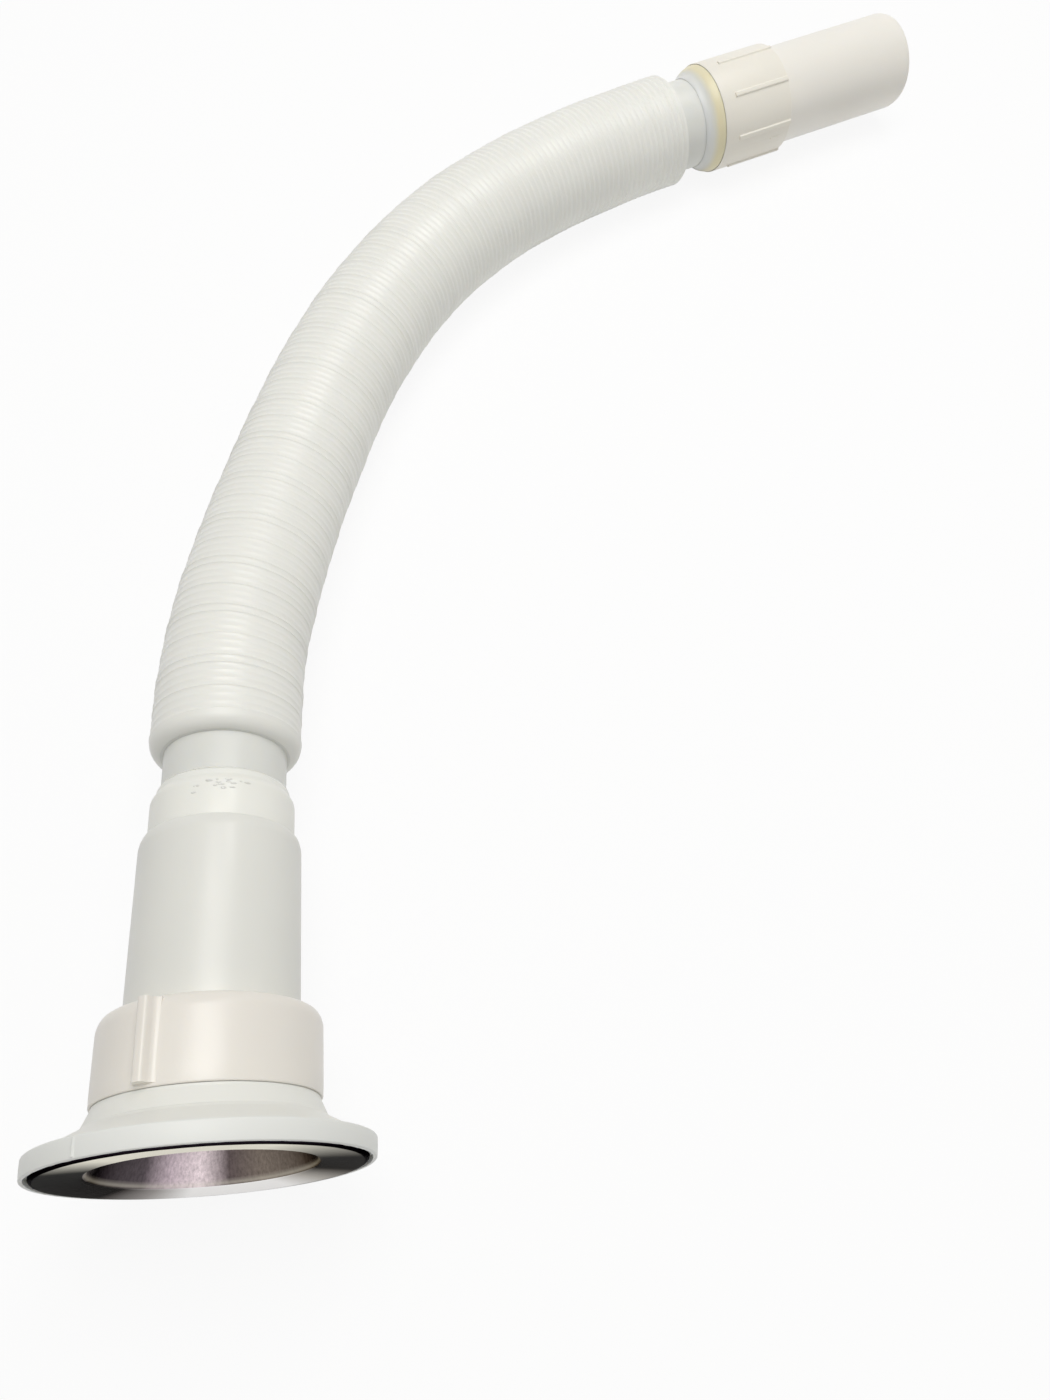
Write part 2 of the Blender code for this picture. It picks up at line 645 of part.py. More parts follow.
def build_sleeve(axis, look):
    top_r = SLEEVE_R - SLEEVE_DRAFT
    shoulder = SLEEVE_END - SLEEVE_SHOULDER
    mouth_r = SLEEVE_BORE_R + SLEEVE_MOUTH_EDGE
    profile = [
        (SLEEVE_BORE_R, SLEEVE_START),
        (THREAD_R, SLEEVE_START),
        (THREAD_R, SLEEVE_FLANGE_END),
        (SLEEVE_R, SLEEVE_FLANGE_END),
        (top_r, shoulder),
        *quarter(top_r, mouth_r, shoulder, SLEEVE_SHOULDER, 3),
        (SLEEVE_BORE_R, SLEEVE_END),
    ]
    return finish("sleeve", turned(profile, even_angles(SLIM_SIDES)), look, axis)


def build_collar(axis, look):
    step_r = COLLAR_BORE_R + COLLAR_STEP_WALL
    lip_r = COLLAR_BORE_R + COLLAR_LIP_WALL
    stop_r = COLLAR_BORE_R - COLLAR_STOP_HEIGHT
    slope_end = COLLAR_BAND_END + COLLAR_LIP / 2
    profile = [
        (stop_r, COLLAR_START),
        (COLLAR_R - COLLAR_EDGE, COLLAR_START),
        (COLLAR_R, COLLAR_START + 2 * COLLAR_EDGE),
        (COLLAR_R, COLLAR_BAND_END),
        (step_r + COLLAR_EDGE, slope_end),
        (step_r, slope_end + COLLAR_EDGE),
        (lip_r, COLLAR_END),
        (COLLAR_BORE_R, COLLAR_END),
        (COLLAR_BORE_R, COLLAR_STOP_END),
        (stop_r, COLLAR_STOP_END),
    ]
    return finish("hose_collar", turned(profile, even_angles(SLIM_SIDES)), look, axis)


def build_cup(axis, look):
    lip_r = CUP_BORE_R + CUP_LIP
    profile = [
        (CUP_BORE_R, CUP_START),
        (lip_r, CUP_START),
        (CUP_R - CUP_CORNER / 2, CUP_FULL - CUP_CORNER),
        (CUP_R, CUP_FULL),
        (CUP_R, CUP_SHOULDER),
        (CUP_THREAD_R, CUP_SHOULDER),
        (CUP_THREAD_R, CUP_END),
        (NECK_BORE_R, CUP_END),
        (NECK_BORE_R, CUP_NECK_STOP),
        (CUP_BORE_R, CUP_NECK_STOP),
    ]
    return finish("coupling_cup", turned(profile, even_angles(SLIM_SIDES)), look, axis)


def build_outlet_nut(axis, look):
    mouth_r = SPIGOT_R + SLIDE_GAP
    profile = [
        (OUTLET_NUT_BORE_R, OUTLET_NUT_START),
        (OUTLET_NUT_R - OUTLET_NUT_EDGE, OUTLET_NUT_START),
        (OUTLET_NUT_R, OUTLET_NUT_START + OUTLET_NUT_EDGE),
        (OUTLET_NUT_R, OUTLET_NUT_START + RIB_START),
        (OUTLET_NUT_R, OUTLET_NUT_END - OUTLET_NUT_EDGE),
        (OUTLET_NUT_R - OUTLET_NUT_EDGE, OUTLET_NUT_END),
        (mouth_r, OUTLET_NUT_END),
        (mouth_r, OUTLET_NUT_SEAT),
        (OUTLET_NUT_BORE_R, OUTLET_NUT_SEAT),
    ]
    centres = [RIB_ANGLE + 360.0 * i / RIBS for i in range(RIBS)]
    half = RIB_WIDTH / 2 / OUTLET_NUT_R
    mesh = turned(profile, ribbed_angles(centres, half, RIB_STEPS))
    grip = (OUTLET_NUT_START + RIB_START, OUTLET_NUT_END - OUTLET_NUT_EDGE)
    raise_ribs(mesh, centres, half, OUTLET_NUT_R, RIB_HEIGHT, grip)
    return finish("outlet_union_nut", mesh, look, axis)


def build_spigot(axis, look):
    profile = [
        (SPIGOT_BORE_R, SPIGOT_START),
        (SPIGOT_FLANGE_R, SPIGOT_START),
        (SPIGOT_FLANGE_R, SPIGOT_FLANGE_END),
        (SPIGOT_R, SPIGOT_FLANGE_END),
        *arc((SPIGOT_R - SPIGOT_ROUND, SPIGOT_END - SPIGOT_ROUND), SPIGOT_ROUND, 0, 90, 2),
        (SPIGOT_BORE_R, SPIGOT_END),
    ]
    return finish("outlet_spigot", turned(profile, even_angles(SLIM_SIDES)), look, axis)


def build_sink_end(start_way):
    """Everything on the sink axis, from the strainer to the collar on the hose."""
    white = material("white_polypropylene", (0.80, 0.80, 0.76), 0.42)
    cream = material("cream_polypropylene", (0.82, 0.79, 0.72), 0.42)
    soft_white = material("soft_white_rubber", (0.82, 0.83, 0.80), 0.6)
    grey_rubber = material("grey_rubber", (0.10, 0.10, 0.10), 0.8)
    steel = material("stainless_steel", (0.62, 0.60, 0.58), 0.3, 1.0)
    brass = material("brass", (0.72, 0.52, 0.22), 0.35, 1.0)

    origin = plan_point(HOSE_START) - start_way * FIRST_FOLD
    axis = axis_empty("sink_axis", origin, start_way, (1, 0, 0))
    build_gasket(axis, soft_white)
    build_body(axis, white)
    build_insert(axis, brass)
    build_dish(axis, steel)
    build_screw(axis, steel)
    ring_washer("sink_seal", THREAD_R - SEAL_WIDTH, THREAD_R, SEAL_START, SEAL_THICKNESS, axis, grey_rubber)
    ring_washer("sink_slip_washer", SLEEVE_R + GAP, THREAD_R, SLIP_START, SLIP_THICKNESS, axis, soft_white)
    build_sink_nut(axis, cream)
    build_sleeve(axis, white)
    build_collar(axis, white)


def build_outlet_end(end_way):
    """Everything on the outlet axis, from the cup on the hose to the spigot."""
    milky = material("milky_polypropylene", (0.78, 0.78, 0.72), 0.4)
    cream = material("cream_outlet_nut", (0.80, 0.77, 0.70), 0.45)
    ivory = material("ivory_spigot", (0.80, 0.77, 0.72), 0.4)
    soft_white = material("soft_outlet_washer", (0.82, 0.83, 0.80), 0.6)
    grey_rubber = material("grey_outlet_rubber", (0.10, 0.10, 0.10), 0.8)

    sideways = (end_way.y, -end_way.x, 0.0)
    pivot = (BEND_PIVOT[0] * MM, BEND_PIVOT[1] * MM, HOSE_R)
    bend_axis = axis_empty("bend_axis", pivot, (0, 0, 1), (1, 0, 0))
    axis = axis_empty("outlet_axis", route_points()[-1], end_way, sideways, bend_axis)
    build_cup(axis, milky)
    seal_r = (SPIGOT_BORE_R, CUP_THREAD_R - OUTLET_THREAD_GAP)
    ring_washer("outlet_seal", *seal_r, OUTLET_SEAL_START, OUTLET_SEAL, axis, grey_rubber)
    build_spigot(axis, ivory)
    slip_r = (SPIGOT_R + SLIDE_GAP, OUTLET_NUT_BORE_R - SLIDE_GAP)
    ring_washer("outlet_slip_washer", *slip_r, OUTLET_SLIP_START, SLIP_THICKNESS, axis, soft_white)
    build_outlet_nut(axis, cream)


def centre_footprint():
    """Moves the whole object so that the middle of its plan is the origin."""
    bpy.context.view_layer.update()
    solids = [item for item in bpy.data.objects if item.type == "MESH" and not item.hide_render]
    corners = np.array([item.matrix_world @ v.co for item in solids for v in item.data.vertices])
    middle = (corners.min(axis=0) + corners.max(axis=0)) / 2
    for item in bpy.data.objects:
        if item.parent is None:
            item.location.x -= middle[0]
            item.location.y -= middle[1]


def main():
    clear_scene()
    tilt = sink_tilt()
    start_way = Vector((0.0, math.cos(tilt), -math.sin(tilt)))
    heading = math.radians(OUTLET_HEADING)
    end_way = Vector((math.cos(heading), math.sin(heading), 0.0))
    build_sink_end(start_way)
    build_hose(Centreline(start_way, end_way), material("white_hose", (0.80, 0.80, 0.77), 0.45))
    build_outlet_end(end_way)
    centre_footprint()


main()
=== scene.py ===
# %% [markdown]
# # Dressing a flexible sink waste
#
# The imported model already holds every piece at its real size: a strainer and union at the sink end, a long folded
# hose, and a union with a spigot at the other end. Its surfaces are plain facets. This lesson models smooth, detailed
# pieces around that fixed frame, one cell at a time, and gives each its finish. Lengths are in metres.

# %% Load the fixed frame
import json
import math
import random

import bmesh
import bpy
import numpy as np
from mathutils import Matrix, Vector


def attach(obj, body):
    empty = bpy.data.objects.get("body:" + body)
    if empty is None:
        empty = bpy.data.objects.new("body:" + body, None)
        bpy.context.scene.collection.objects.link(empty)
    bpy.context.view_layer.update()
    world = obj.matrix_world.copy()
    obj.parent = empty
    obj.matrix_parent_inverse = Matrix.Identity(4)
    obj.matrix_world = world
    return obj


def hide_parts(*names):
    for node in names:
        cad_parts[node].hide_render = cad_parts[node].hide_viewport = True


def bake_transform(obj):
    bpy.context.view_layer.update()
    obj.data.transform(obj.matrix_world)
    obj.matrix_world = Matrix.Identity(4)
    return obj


MM = 0.001
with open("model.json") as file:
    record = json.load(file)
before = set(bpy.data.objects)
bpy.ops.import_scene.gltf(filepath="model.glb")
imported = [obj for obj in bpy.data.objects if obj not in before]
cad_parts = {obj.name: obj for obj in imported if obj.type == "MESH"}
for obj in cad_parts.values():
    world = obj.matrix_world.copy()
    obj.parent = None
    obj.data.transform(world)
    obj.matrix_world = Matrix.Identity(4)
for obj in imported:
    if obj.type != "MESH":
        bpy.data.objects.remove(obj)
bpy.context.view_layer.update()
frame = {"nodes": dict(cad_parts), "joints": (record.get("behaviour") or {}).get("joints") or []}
nodes = frame["nodes"]

# %% [markdown]
# ## The camera
#
# The pipe lies on a table and the camera stands just in front of the strainer, looking steeply down along the hose.
# A camera this near has strong perspective, so its height and lens matter more than its aim. The values were fitted
# to the circles of the strainer, nut and hose. The sensor is fitted by its height, because the frame is upright.

# %% Place the camera
CAMERA_PLACE = (-53.7 * MM, -259.8 * MM, 331.6 * MM)
CAMERA_HEADING = 5.9  # degrees from +Y towards +X
CAMERA_DIP = 62.9  # degrees below the horizon
CAMERA_LENS = 27.0
SENSOR = 36.0

camera_data = bpy.data.cameras.new("camera")
camera_data.sensor_fit = "VERTICAL"
camera_data.sensor_height = SENSOR
camera_data.sensor_width = SENSOR
camera_data.lens = CAMERA_LENS
camera_data.clip_start = 0.01
camera = bpy.data.objects.new("camera", camera_data)
bpy.context.scene.collection.objects.link(camera)
camera.location = CAMERA_PLACE
camera.rotation_euler = (math.radians(90 - CAMERA_DIP), 0.0, -math.radians(CAMERA_HEADING))
bpy.context.scene.camera = camera
print("camera is", round(CAMERA_PLACE[2] / MM), "mm above the table")

# %% [markdown]
# ## Two axes
#
# Every piece but the hose is round, and sits on one of two axes. The frame's joints give each axis: the big nut turns
# about one and the ribbed nut about the other. A small class keeps the axis, moves a finished piece onto it, and
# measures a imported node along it, so that no size is written twice.

# %% Axes measured from the frame
class Axis:
    """An axis with its local Z along the piece, and stations in metres, counted so that one node starts at a given one."""

    def __init__(self, joint_name, first_node, first_station=0.0):
        joint = next(j for j in frame["joints"] if j["name"] == joint_name)
        along = Vector(joint["axis"]).normalized()
        side = along.cross(Vector((0, 0, 1))).normalized()
        turn = Matrix((side, along.cross(side), along)).transposed().to_4x4()
        self.matrix = Matrix.Translation(Vector(joint["pos_m"])) @ turn
        start = self.measure(first_node)["start"]
        self.matrix = self.matrix @ Matrix.Translation((0, 0, start - first_station))

    def measure(self, node):
        """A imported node's start and end along the axis, and its smallest and largest radius."""
        inverse = self.matrix.inverted()
        local = [inverse @ v.co for v in nodes[node].data.vertices]
        radii = [math.hypot(p.x, p.y) for p in local]
        stations = [p.z for p in local]
        return {"start": min(stations), "end": max(stations), "inner": min(radii), "outer": max(radii)}

    def point(self, station, radius=0.0, angle=0.0):
        """The world point at a station and radius; angle 0 is on the right, and 90 degrees straight down."""
        turn = math.radians(angle)
        return self.matrix @ Vector((radius * math.cos(turn), radius * math.sin(turn), station))


CUP_START = 15.5 * MM  # past the hose's last fold
sink = Axis("sink_nut_turn", "sink_gasket")
outlet = Axis("outlet_nut_turn", "coupling_cup", CUP_START)
for label, axis, names in (
    ("sink", sink, ("sink_gasket", "waste_body", "sink_union_nut", "sleeve", "hose_collar")),
    ("outlet", outlet, ("coupling_cup", "outlet_union_nut", "outlet_spigot")),
):
    for name in names:
        print(label, name, {k: round(v / MM, 2) for k, v in axis.measure(name).items()})

# %% [markdown]
# ## Turning a round piece
#
# A moulded ring or tube is the shape that its section sweeps round the axis. By hand one draws the section as an
# outline, rounds its corners and spins it. The helper does the same with operators: it starts from a small plane
# merged to one vertex, extrudes that vertex from corner to corner, fills the outline so that vertex bevels can round
# it, drops the fill and spins the edges a full turn.

# %% Helpers for outlines and spins
ROUND_STEPS = 96


def nothing_selected():
    if bpy.context.object and bpy.context.object.mode != "OBJECT":
        bpy.ops.object.mode_set(mode="OBJECT")
    bpy.ops.object.select_all(action="DESELECT")


def only(item):
    nothing_selected()
    item.select_set(True)
    bpy.context.view_layer.objects.active = item


def draw_line(name, points):
    """Starts from a small plane merged to one vertex and extrudes it along (radius, station) points."""
    nothing_selected()
    bpy.ops.mesh.primitive_plane_add(size=MM, location=(0, 0, 0))
    piece = bpy.context.object
    piece.name = name
    bpy.ops.object.mode_set(mode="EDIT")
    bpy.ops.mesh.merge(type="CENTER")
    bpy.ops.transform.translate(value=(points[0][0], 0, points[0][1]))
    extrude_along(points)
    return piece


def extrude_along(points):
    """Extrudes the selected vertex, which is at the first point, on to each of the others."""
    for before, after in zip(points, points[1:]):
        step = (after[0] - before[0], 0, after[1] - before[1])
        bpy.ops.mesh.extrude_region_move(TRANSFORM_OT_translate={"value": step})


def draw_outline(name, corners):
    """Draws the (radius, station, rounding) corners as a closed outline and rounds them."""
    piece = draw_line(name, corners)
    bpy.ops.mesh.select_all(action="SELECT")
    bpy.ops.mesh.edge_face_add()
    for radius, station, rounding in corners:
        if rounding:
            select_near(piece, Vector((radius, 0, station)))
            bpy.ops.mesh.bevel(offset=rounding, segments=4, affect="VERTICES")
    bpy.ops.mesh.select_all(action="SELECT")
    bpy.ops.mesh.delete(type="ONLY_FACE")
    return piece


def select_near(piece, place):
    """Selects the one vertex of the piece in edit mode that is nearest to a place."""
    bpy.ops.mesh.select_all(action="DESELECT")
    shape = bmesh.from_edit_mesh(piece.data)
    nearest = min(shape.verts, key=lambda v: (v.co - place).length)
    nearest.select_set(True)
    shape.select_flush(True)
    bmesh.update_edit_mesh(piece.data)


def spin_full(steps=ROUND_STEPS):
    """Spins the outline in edit mode a full turn about Z and closes its seam."""
    bpy.ops.mesh.select_all(action="SELECT")
    bpy.ops.mesh.spin(steps=steps, angle=math.tau, center=(0, 0, 0), axis=(0, 0, 1))
    bpy.ops.mesh.select_all(action="SELECT")
    bpy.ops.mesh.remove_doubles(threshold=0.005 * MM)
    bpy.ops.mesh.normals_make_consistent(inside=False)
    bpy.ops.object.mode_set(mode="OBJECT")


def apply_all(piece):
    """Applies every modifier of the piece in turn."""
    only(piece)
    for modifier in list(piece.modifiers):
        bpy.ops.object.modifier_apply(modifier=modifier.name)


def settle(piece, axis, sharp=35):
    """Shades the piece smooth, moves it onto its axis and leaves its object at the origin."""
    only(piece)
    bpy.ops.object.shade_smooth_by_angle(angle=math.radians(sharp))
    piece.matrix_world = axis.matrix @ piece.matrix_world
    bpy.ops.object.transform_apply(location=True, rotation=True, scale=True)
    print(piece.name, len(piece.data.polygons), "faces")
    return piece


def combine(piece, tool, operation):
    """An exact Boolean with a tool that is used up."""
    boolean = piece.modifiers.new(operation.lower(), "BOOLEAN")
    boolean.operation = operation
    boolean.solver = "EXACT"
    boolean.object = tool
    apply_all(piece)
    bpy.data.objects.remove(tool, do_unlink=True)


def turned(name, corners, steps=ROUND_STEPS):
    """A closed ring or tube from its outline."""
    piece = draw_outline(name, corners)
    spin_full(steps)
    return piece


def bar(name, section, start, length, angle, edge):
    """A moulded bar along the axis: its (radial, sideways, rounding) section filled, extruded and its ends rounded."""
    piece = draw_outline(name, section)
    bpy.ops.mesh.select_all(action="SELECT")
    bpy.ops.mesh.edge_face_add()
    bpy.ops.mesh.extrude_region_move(TRANSFORM_OT_translate={"value": (0, length, 0)})
    bpy.ops.mesh.select_all(action="SELECT")
    bpy.ops.mesh.normals_make_consistent(inside=False)
    bpy.ops.mesh.select_all(action="DESELECT")
    shape = bmesh.from_edit_mesh(piece.data)
    for face in shape.faces:
        face.select_set(abs(face.normal.y) > 0.9)
    bmesh.update_edit_mesh(piece.data)
    bpy.ops.mesh.bevel(offset=edge, segments=3, affect="EDGES")
    bpy.ops.object.mode_set(mode="OBJECT")
    piece.rotation_euler = (math.pi / 2, 0, math.radians(angle))
    piece.location = (0, 0, start)
    bpy.ops.object.transform_apply(location=True, rotation=True, scale=True)
    return piece


PITCH = 2.309 * MM


def add_thread(piece, core_r, crest_r, start, turns):
    """Winds a right-handed ridge round the piece with the Screw modifier, caps its ends and joins it on."""
    half = PITCH * 0.42
    crest = PITCH * 0.12
    sunk = 0.25 * MM
    ridge = draw_outline("thread_ridge", [
        (core_r - sunk, start - half, 0),
        (crest_r, start - crest, 0.06 * MM),
        (crest_r, start + crest, 0.06 * MM),
        (core_r - sunk, start + half, 0),
    ])
    bpy.ops.object.mode_set(mode="OBJECT")
    screw = ridge.modifiers.new("screw", "SCREW")
    screw.axis = "Z"
    screw.screw_offset = PITCH
    screw.iterations = turns
    screw.steps = screw.render_steps = ROUND_STEPS
    apply_all(ridge)
    bpy.ops.object.mode_set(mode="EDIT")
    bpy.ops.mesh.select_mode(type="VERT")
    bpy.ops.mesh.select_all(action="DESELECT")
    bpy.ops.mesh.select_non_manifold()
    bpy.ops.mesh.fill_holes(sides=0)
    bpy.ops.mesh.select_all(action="SELECT")
    bpy.ops.mesh.normals_make_consistent(inside=False)
    bpy.ops.object.mode_set(mode="OBJECT")
    combine(piece, ridge, "UNION")


# %% [markdown]
# ## Plastic, rubber and steel
#
# White plumbing plastic is never one flat colour. It is slightly milky, so light enters a little way. Its gloss varies
# in patches from handling, and the mould leaves a very fine grain. One function builds this from two noise textures on
# object coordinates, and each piece gets its own tint, because the photographed whites run from bluish to cream.

# %% Plastic finish
def add_node(tree, kind, place, **inputs):
    made = tree.nodes.new(kind)
    made.location = place
    for name, value in inputs.items():
        made.inputs[name.replace("_", " ")].default_value = value
    return made


def plastic(name, colour, roughness=0.38, patch=0.03, grain=0.12, milk=0.12, tint=None):
    """A moulded plastic: colour patches, gloss patches, fine mould grain and a little light inside."""
    made = bpy.data.materials.new(name)
    made.use_nodes = True
    tree = made.node_tree
    shader = tree.nodes["Principled BSDF"]
    shader.inputs["Subsurface Weight"].default_value = milk
    shader.inputs["Subsurface Radius"].default_value = (1.0, 0.85, 0.6)
    shader.inputs["Subsurface Scale"].default_value = 2.5 * MM
    place = add_node(tree, "ShaderNodeTexCoord", (-1200, 0))
    patches = add_node(tree, "ShaderNodeTexNoise", (-950, 200), Scale=38.0, Detail=1.0)
    tree.links.new(place.outputs["Object"], patches.inputs["Vector"])
    ramp = tree.nodes.new("ShaderNodeMix")
    ramp.data_type = "RGBA"
    ramp.location = (-650, 200)
    other = tint or tuple(c * (1 - 2 * patch) for c in colour)
    ramp.inputs["A"].default_value = (*colour, 1.0)
    ramp.inputs["B"].default_value = (*other, 1.0)
    tree.links.new(patches.outputs["Fac"], ramp.inputs["Factor"])
    tree.links.new(ramp.outputs["Result"], shader.inputs["Base Color"])
    gloss = add_node(tree, "ShaderNodeMapRange", (-650, -50), From_Min=0.2, From_Max=0.8)
    gloss.interpolation_type = "SMOOTHSTEP"
    gloss.inputs["To Min"].default_value = roughness - 0.06
    gloss.inputs["To Max"].default_value = roughness + 0.07
    tree.links.new(patches.outputs["Fac"], gloss.inputs["Value"])
    tree.links.new(gloss.outputs["Result"], shader.inputs["Roughness"])
    fine = add_node(tree, "ShaderNodeTexNoise", (-950, -300), Scale=1400.0, Detail=2.0)
    tree.links.new(place.outputs["Object"], fine.inputs["Vector"])
    bump = add_node(tree, "ShaderNodeBump", (-650, -300), Strength=grain, Distance=0.1 * MM)
    tree.links.new(fine.outputs["Fac"], bump.inputs["Height"])
    tree.links.new(bump.outputs["Normal"], shader.inputs["Normal"])
    return made


def dress(piece, material, slot, body, *replaced):
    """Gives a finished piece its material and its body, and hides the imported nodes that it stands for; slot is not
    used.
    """
    piece.data.materials.clear()
    piece.data.materials.append(material)
    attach(piece, body)
    if replaced:
        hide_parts(*replaced)


gasket_white = plastic("gasket_white", (0.83, 0.84, 0.81), roughness=0.5, milk=0.05, grain=0.2)
body_white = plastic("body_white", (0.83, 0.83, 0.785), roughness=0.4)
nut_white = plastic("nut_white", (0.84, 0.805, 0.745), roughness=0.36)
sleeve_white = plastic("sleeve_white", (0.79, 0.79, 0.745), roughness=0.35, grain=0.06)
collar_white = plastic("collar_white", (0.88, 0.88, 0.825), roughness=0.36)
hose_white = plastic("hose_white", (0.86, 0.86, 0.815), roughness=0.36, grain=0.05)
neck_milky = plastic("neck_milky", (0.765, 0.77, 0.73), roughness=0.36, milk=0.3, grain=0.05)
cup_milky = plastic("cup_milky", (0.77, 0.775, 0.74), roughness=0.36, milk=0.3, tint=(0.78, 0.72, 0.50))
outlet_cream = plastic("outlet_cream", (0.875, 0.84, 0.755), roughness=0.38)
spigot_ivory = plastic("spigot_ivory", (0.885, 0.86, 0.80), roughness=0.36)
print(len(bpy.data.materials), "materials so far")

# %% [markdown]
# ## The hose
#
# The hose is blown in one piece: a neck at each end and a bellows of many shallow folds pressed together. It is drawn
# straight first. One fold is drawn as a short run of edges and repeated, the shoulders and necks are added at both
# ends, the outline is spun, and a curve modifier then lays the straight bellows along its route. The route's points
# are the ones that the frame's own hose follows.

# %% Route of the hose
HOSE_START = (0.0, 121.5, 34.8)
ROUTE = (
    (0.3, 138.0, 33.6),
    (1.9, 160.0, 31.8),
    (5.6, 182.0, 29.8),
    (10.6, 204.5, 27.7),
    (16.8, 227.5, 25.9),
    (24.2, 251.0, 24.5),
    (33.0, 275.5, 23.6),
    (44.2, 300.0, 23.15),
    (57.8, 323.5, 23.03),
    (74.3, 345.8, 23.01),
    (93.6, 365.6, 23.01),
    (115.4, 382.4, 23.01),
    (139.4, 396.8, 23.03),
    (164.2, 408.8, 23.1),
)
HOSE_END = (189.5, 419.0, 23.2)
FOOTPRINT_CENTRE = (131.94, 237.305)


def row_point(point):
    """A point of the plan, in millimetres, in the frame's own metres."""
    return np.array((point[0] - FOOTPRINT_CENTRE[0], point[1] - FOOTPRINT_CENTRE[1], point[2])) * MM


def smooth_line(points, start_way, end_way, fineness=20):
    """A cubic spline through the points that leaves and arrives in the given directions."""
    spans = np.linalg.norm(np.diff(points, axis=0), axis=1)
    count = len(points)
    matrix = np.zeros((count, count))
    right = np.zeros((count, 3))
    matrix[0, 0] = matrix[-1, -1] = 1.0
    right[0], right[-1] = start_way, end_way
    for i in range(1, count - 1):
        before, after = spans[i - 1], spans[i]
        matrix[i, i - 1 : i + 2] = after, 2 * (before + after), before
        slope_before = (points[i] - points[i - 1]) / before
        slope_after = (points[i + 1] - points[i]) / after
        right[i] = 3 * (after * slope_before + before * slope_after)
    slopes = np.linalg.solve(matrix, right)
    line = []
    for i in range(count - 1):
        for t in np.linspace(0, 1, fineness, endpoint=i == count - 2):
            line.append(
                (2 * t**3 - 3 * t**2 + 1) * points[i]
                + (t**3 - 2 * t**2 + t) * spans[i] * slopes[i]
                + (3 * t**2 - 2 * t**3) * points[i + 1]
                + (t**3 - t**2) * spans[i] * slopes[i + 1]
            )
    return np.array(line)


sink_way = np.array(sink.matrix.col[2][:3])
outlet_way = np.array(outlet.matrix.col[2][:3])
fold_line = smooth_line(np.array([row_point(p) for p in (HOSE_START, *ROUTE, HOSE_END)]), sink_way, outlet_way)
fold_length = float(np.linalg.norm(np.diff(fold_line, axis=0), axis=1).sum())
print("folded stretch is", round(fold_length / MM, 1), "mm long")

# %% Draw one fold and repeat it
FOLDS = 138
HOSE_R = 23.0 * MM
NECK_R = 18.3 * MM
NECK_BORE_R = 17.0 * MM
HOSE_BORE_R = 19.2 * MM
START_NECK = 40.5 * MM
END_NECK = 29.0 * MM
FIRST_CREST = 0.9 * MM
LAST_CREST = fold_length - 3.6 * MM
FOLD_PITCH = (LAST_CREST - FIRST_CREST) / FOLDS
FOLD_PLACES = (0.0, 0.13, 0.32, 0.5, 0.68, 0.87)
RIDGED = (0.0, 0.60, 0.93, 1.0, 0.93, 0.60)
ROUND = (0.0, 0.12, 0.60, 1.0, 0.60, 0.12)

fold = [(HOSE_R, FIRST_CREST + place * FOLD_PITCH) for place in (*FOLD_PLACES, 1.0)]
hose = draw_line("hose_bellows", fold)
bpy.ops.object.mode_set(mode="OBJECT")
folds = hose.modifiers.new("folds", "ARRAY")
folds.count = FOLDS
folds.use_relative_offset = False
folds.use_constant_offset = True
folds.constant_offset_displace = (0, 0, FOLD_PITCH)
folds.use_merge_vertices = True
folds.merge_threshold = 0.05 * MM
apply_all(hose)
print(len(hose.data.vertices), "vertices in the row of folds")


# %% Sink in the valleys
def fold_radius(station):
    """The outside radius at a station: thin ridges in strong and weak groups at first, rounder even folds at the end."""
    turns = (station - FIRST_CREST) / FOLD_PITCH
    number = round(turns * 100) // 100
    share = min(max(number / FOLDS, 0.0), 1.0)
    place = min(range(len(FOLD_PLACES)), key=lambda k: abs(turns - number - FOLD_PLACES[k]))
    depth = (1 - share) * RIDGED[place] + share * ROUND[place]
    full = (0.40 + 0.22 * share) * MM
    weak = (0.0, 0.20, 0.11, 0.22, 0.05, 0.16, 0.24)[(number * 3) % 7] * (1 - 0.8 * share) * MM
    sway = 0.10 * MM * math.sin(number * 0.37) * math.sin(number * 0.11)
    return HOSE_R - 0.1 * MM + sway - weak - depth * (full - weak)


for vertex in hose.data.vertices:
    vertex.co.x = fold_radius(vertex.co.z)
first_r = fold_radius(FIRST_CREST)
last_r = fold_radius(LAST_CREST)
print("crest radius at both ends in mm:", round(first_r / MM, 2), round(last_r / MM, 2))

# %% Shoulders, necks and bore
NECK_END = fold_length + END_NECK
BORE_STEPS = 60
around = [(last_r, LAST_CREST)]
around += [(22.75 * MM, LAST_CREST + 0.45 * MM), (22.1 * MM, LAST_CREST + 0.6 * MM), (22.0 * MM, LAST_CREST + 1.5 * MM)]
around += [(21.2 * MM, LAST_CREST + 1.95 * MM), (NECK_R + 0.4 * MM, LAST_CREST + 2.1 * MM), (NECK_R, LAST_CREST + 2.5 * MM)]
around += [(NECK_R, LAST_CREST + 4.0 * MM), (NECK_R, NECK_END), (NECK_BORE_R, NECK_END), (NECK_BORE_R, fold_length)]
for i in range(BORE_STEPS + 1):
    around.append((HOSE_BORE_R, fold_length - 4 * MM - (fold_length - 8 * MM) * i / BORE_STEPS))
around += [(NECK_BORE_R, 0.0), (NECK_BORE_R, -START_NECK), (NECK_R, -START_NECK), (NECK_R, -6.0 * MM)]
shoulder_run = 4.6 * MM
for i in range(9):
    turn = math.pi / 2 * (1 - i / 8)
    rise = (first_r - 0.15 * MM - NECK_R) * math.cos(turn) ** 0.9
    around.append((NECK_R + rise, FIRST_CREST - 0.5 * MM - shoulder_run * math.sin(turn)))
around.append((first_r, FIRST_CREST))
only(hose)
bpy.ops.object.mode_set(mode="EDIT")
select_near(hose, Vector((last_r, 0, LAST_CREST)))
extrude_along(around)
spin_full(64)
bpy.ops.object.mode_set(mode="EDIT")
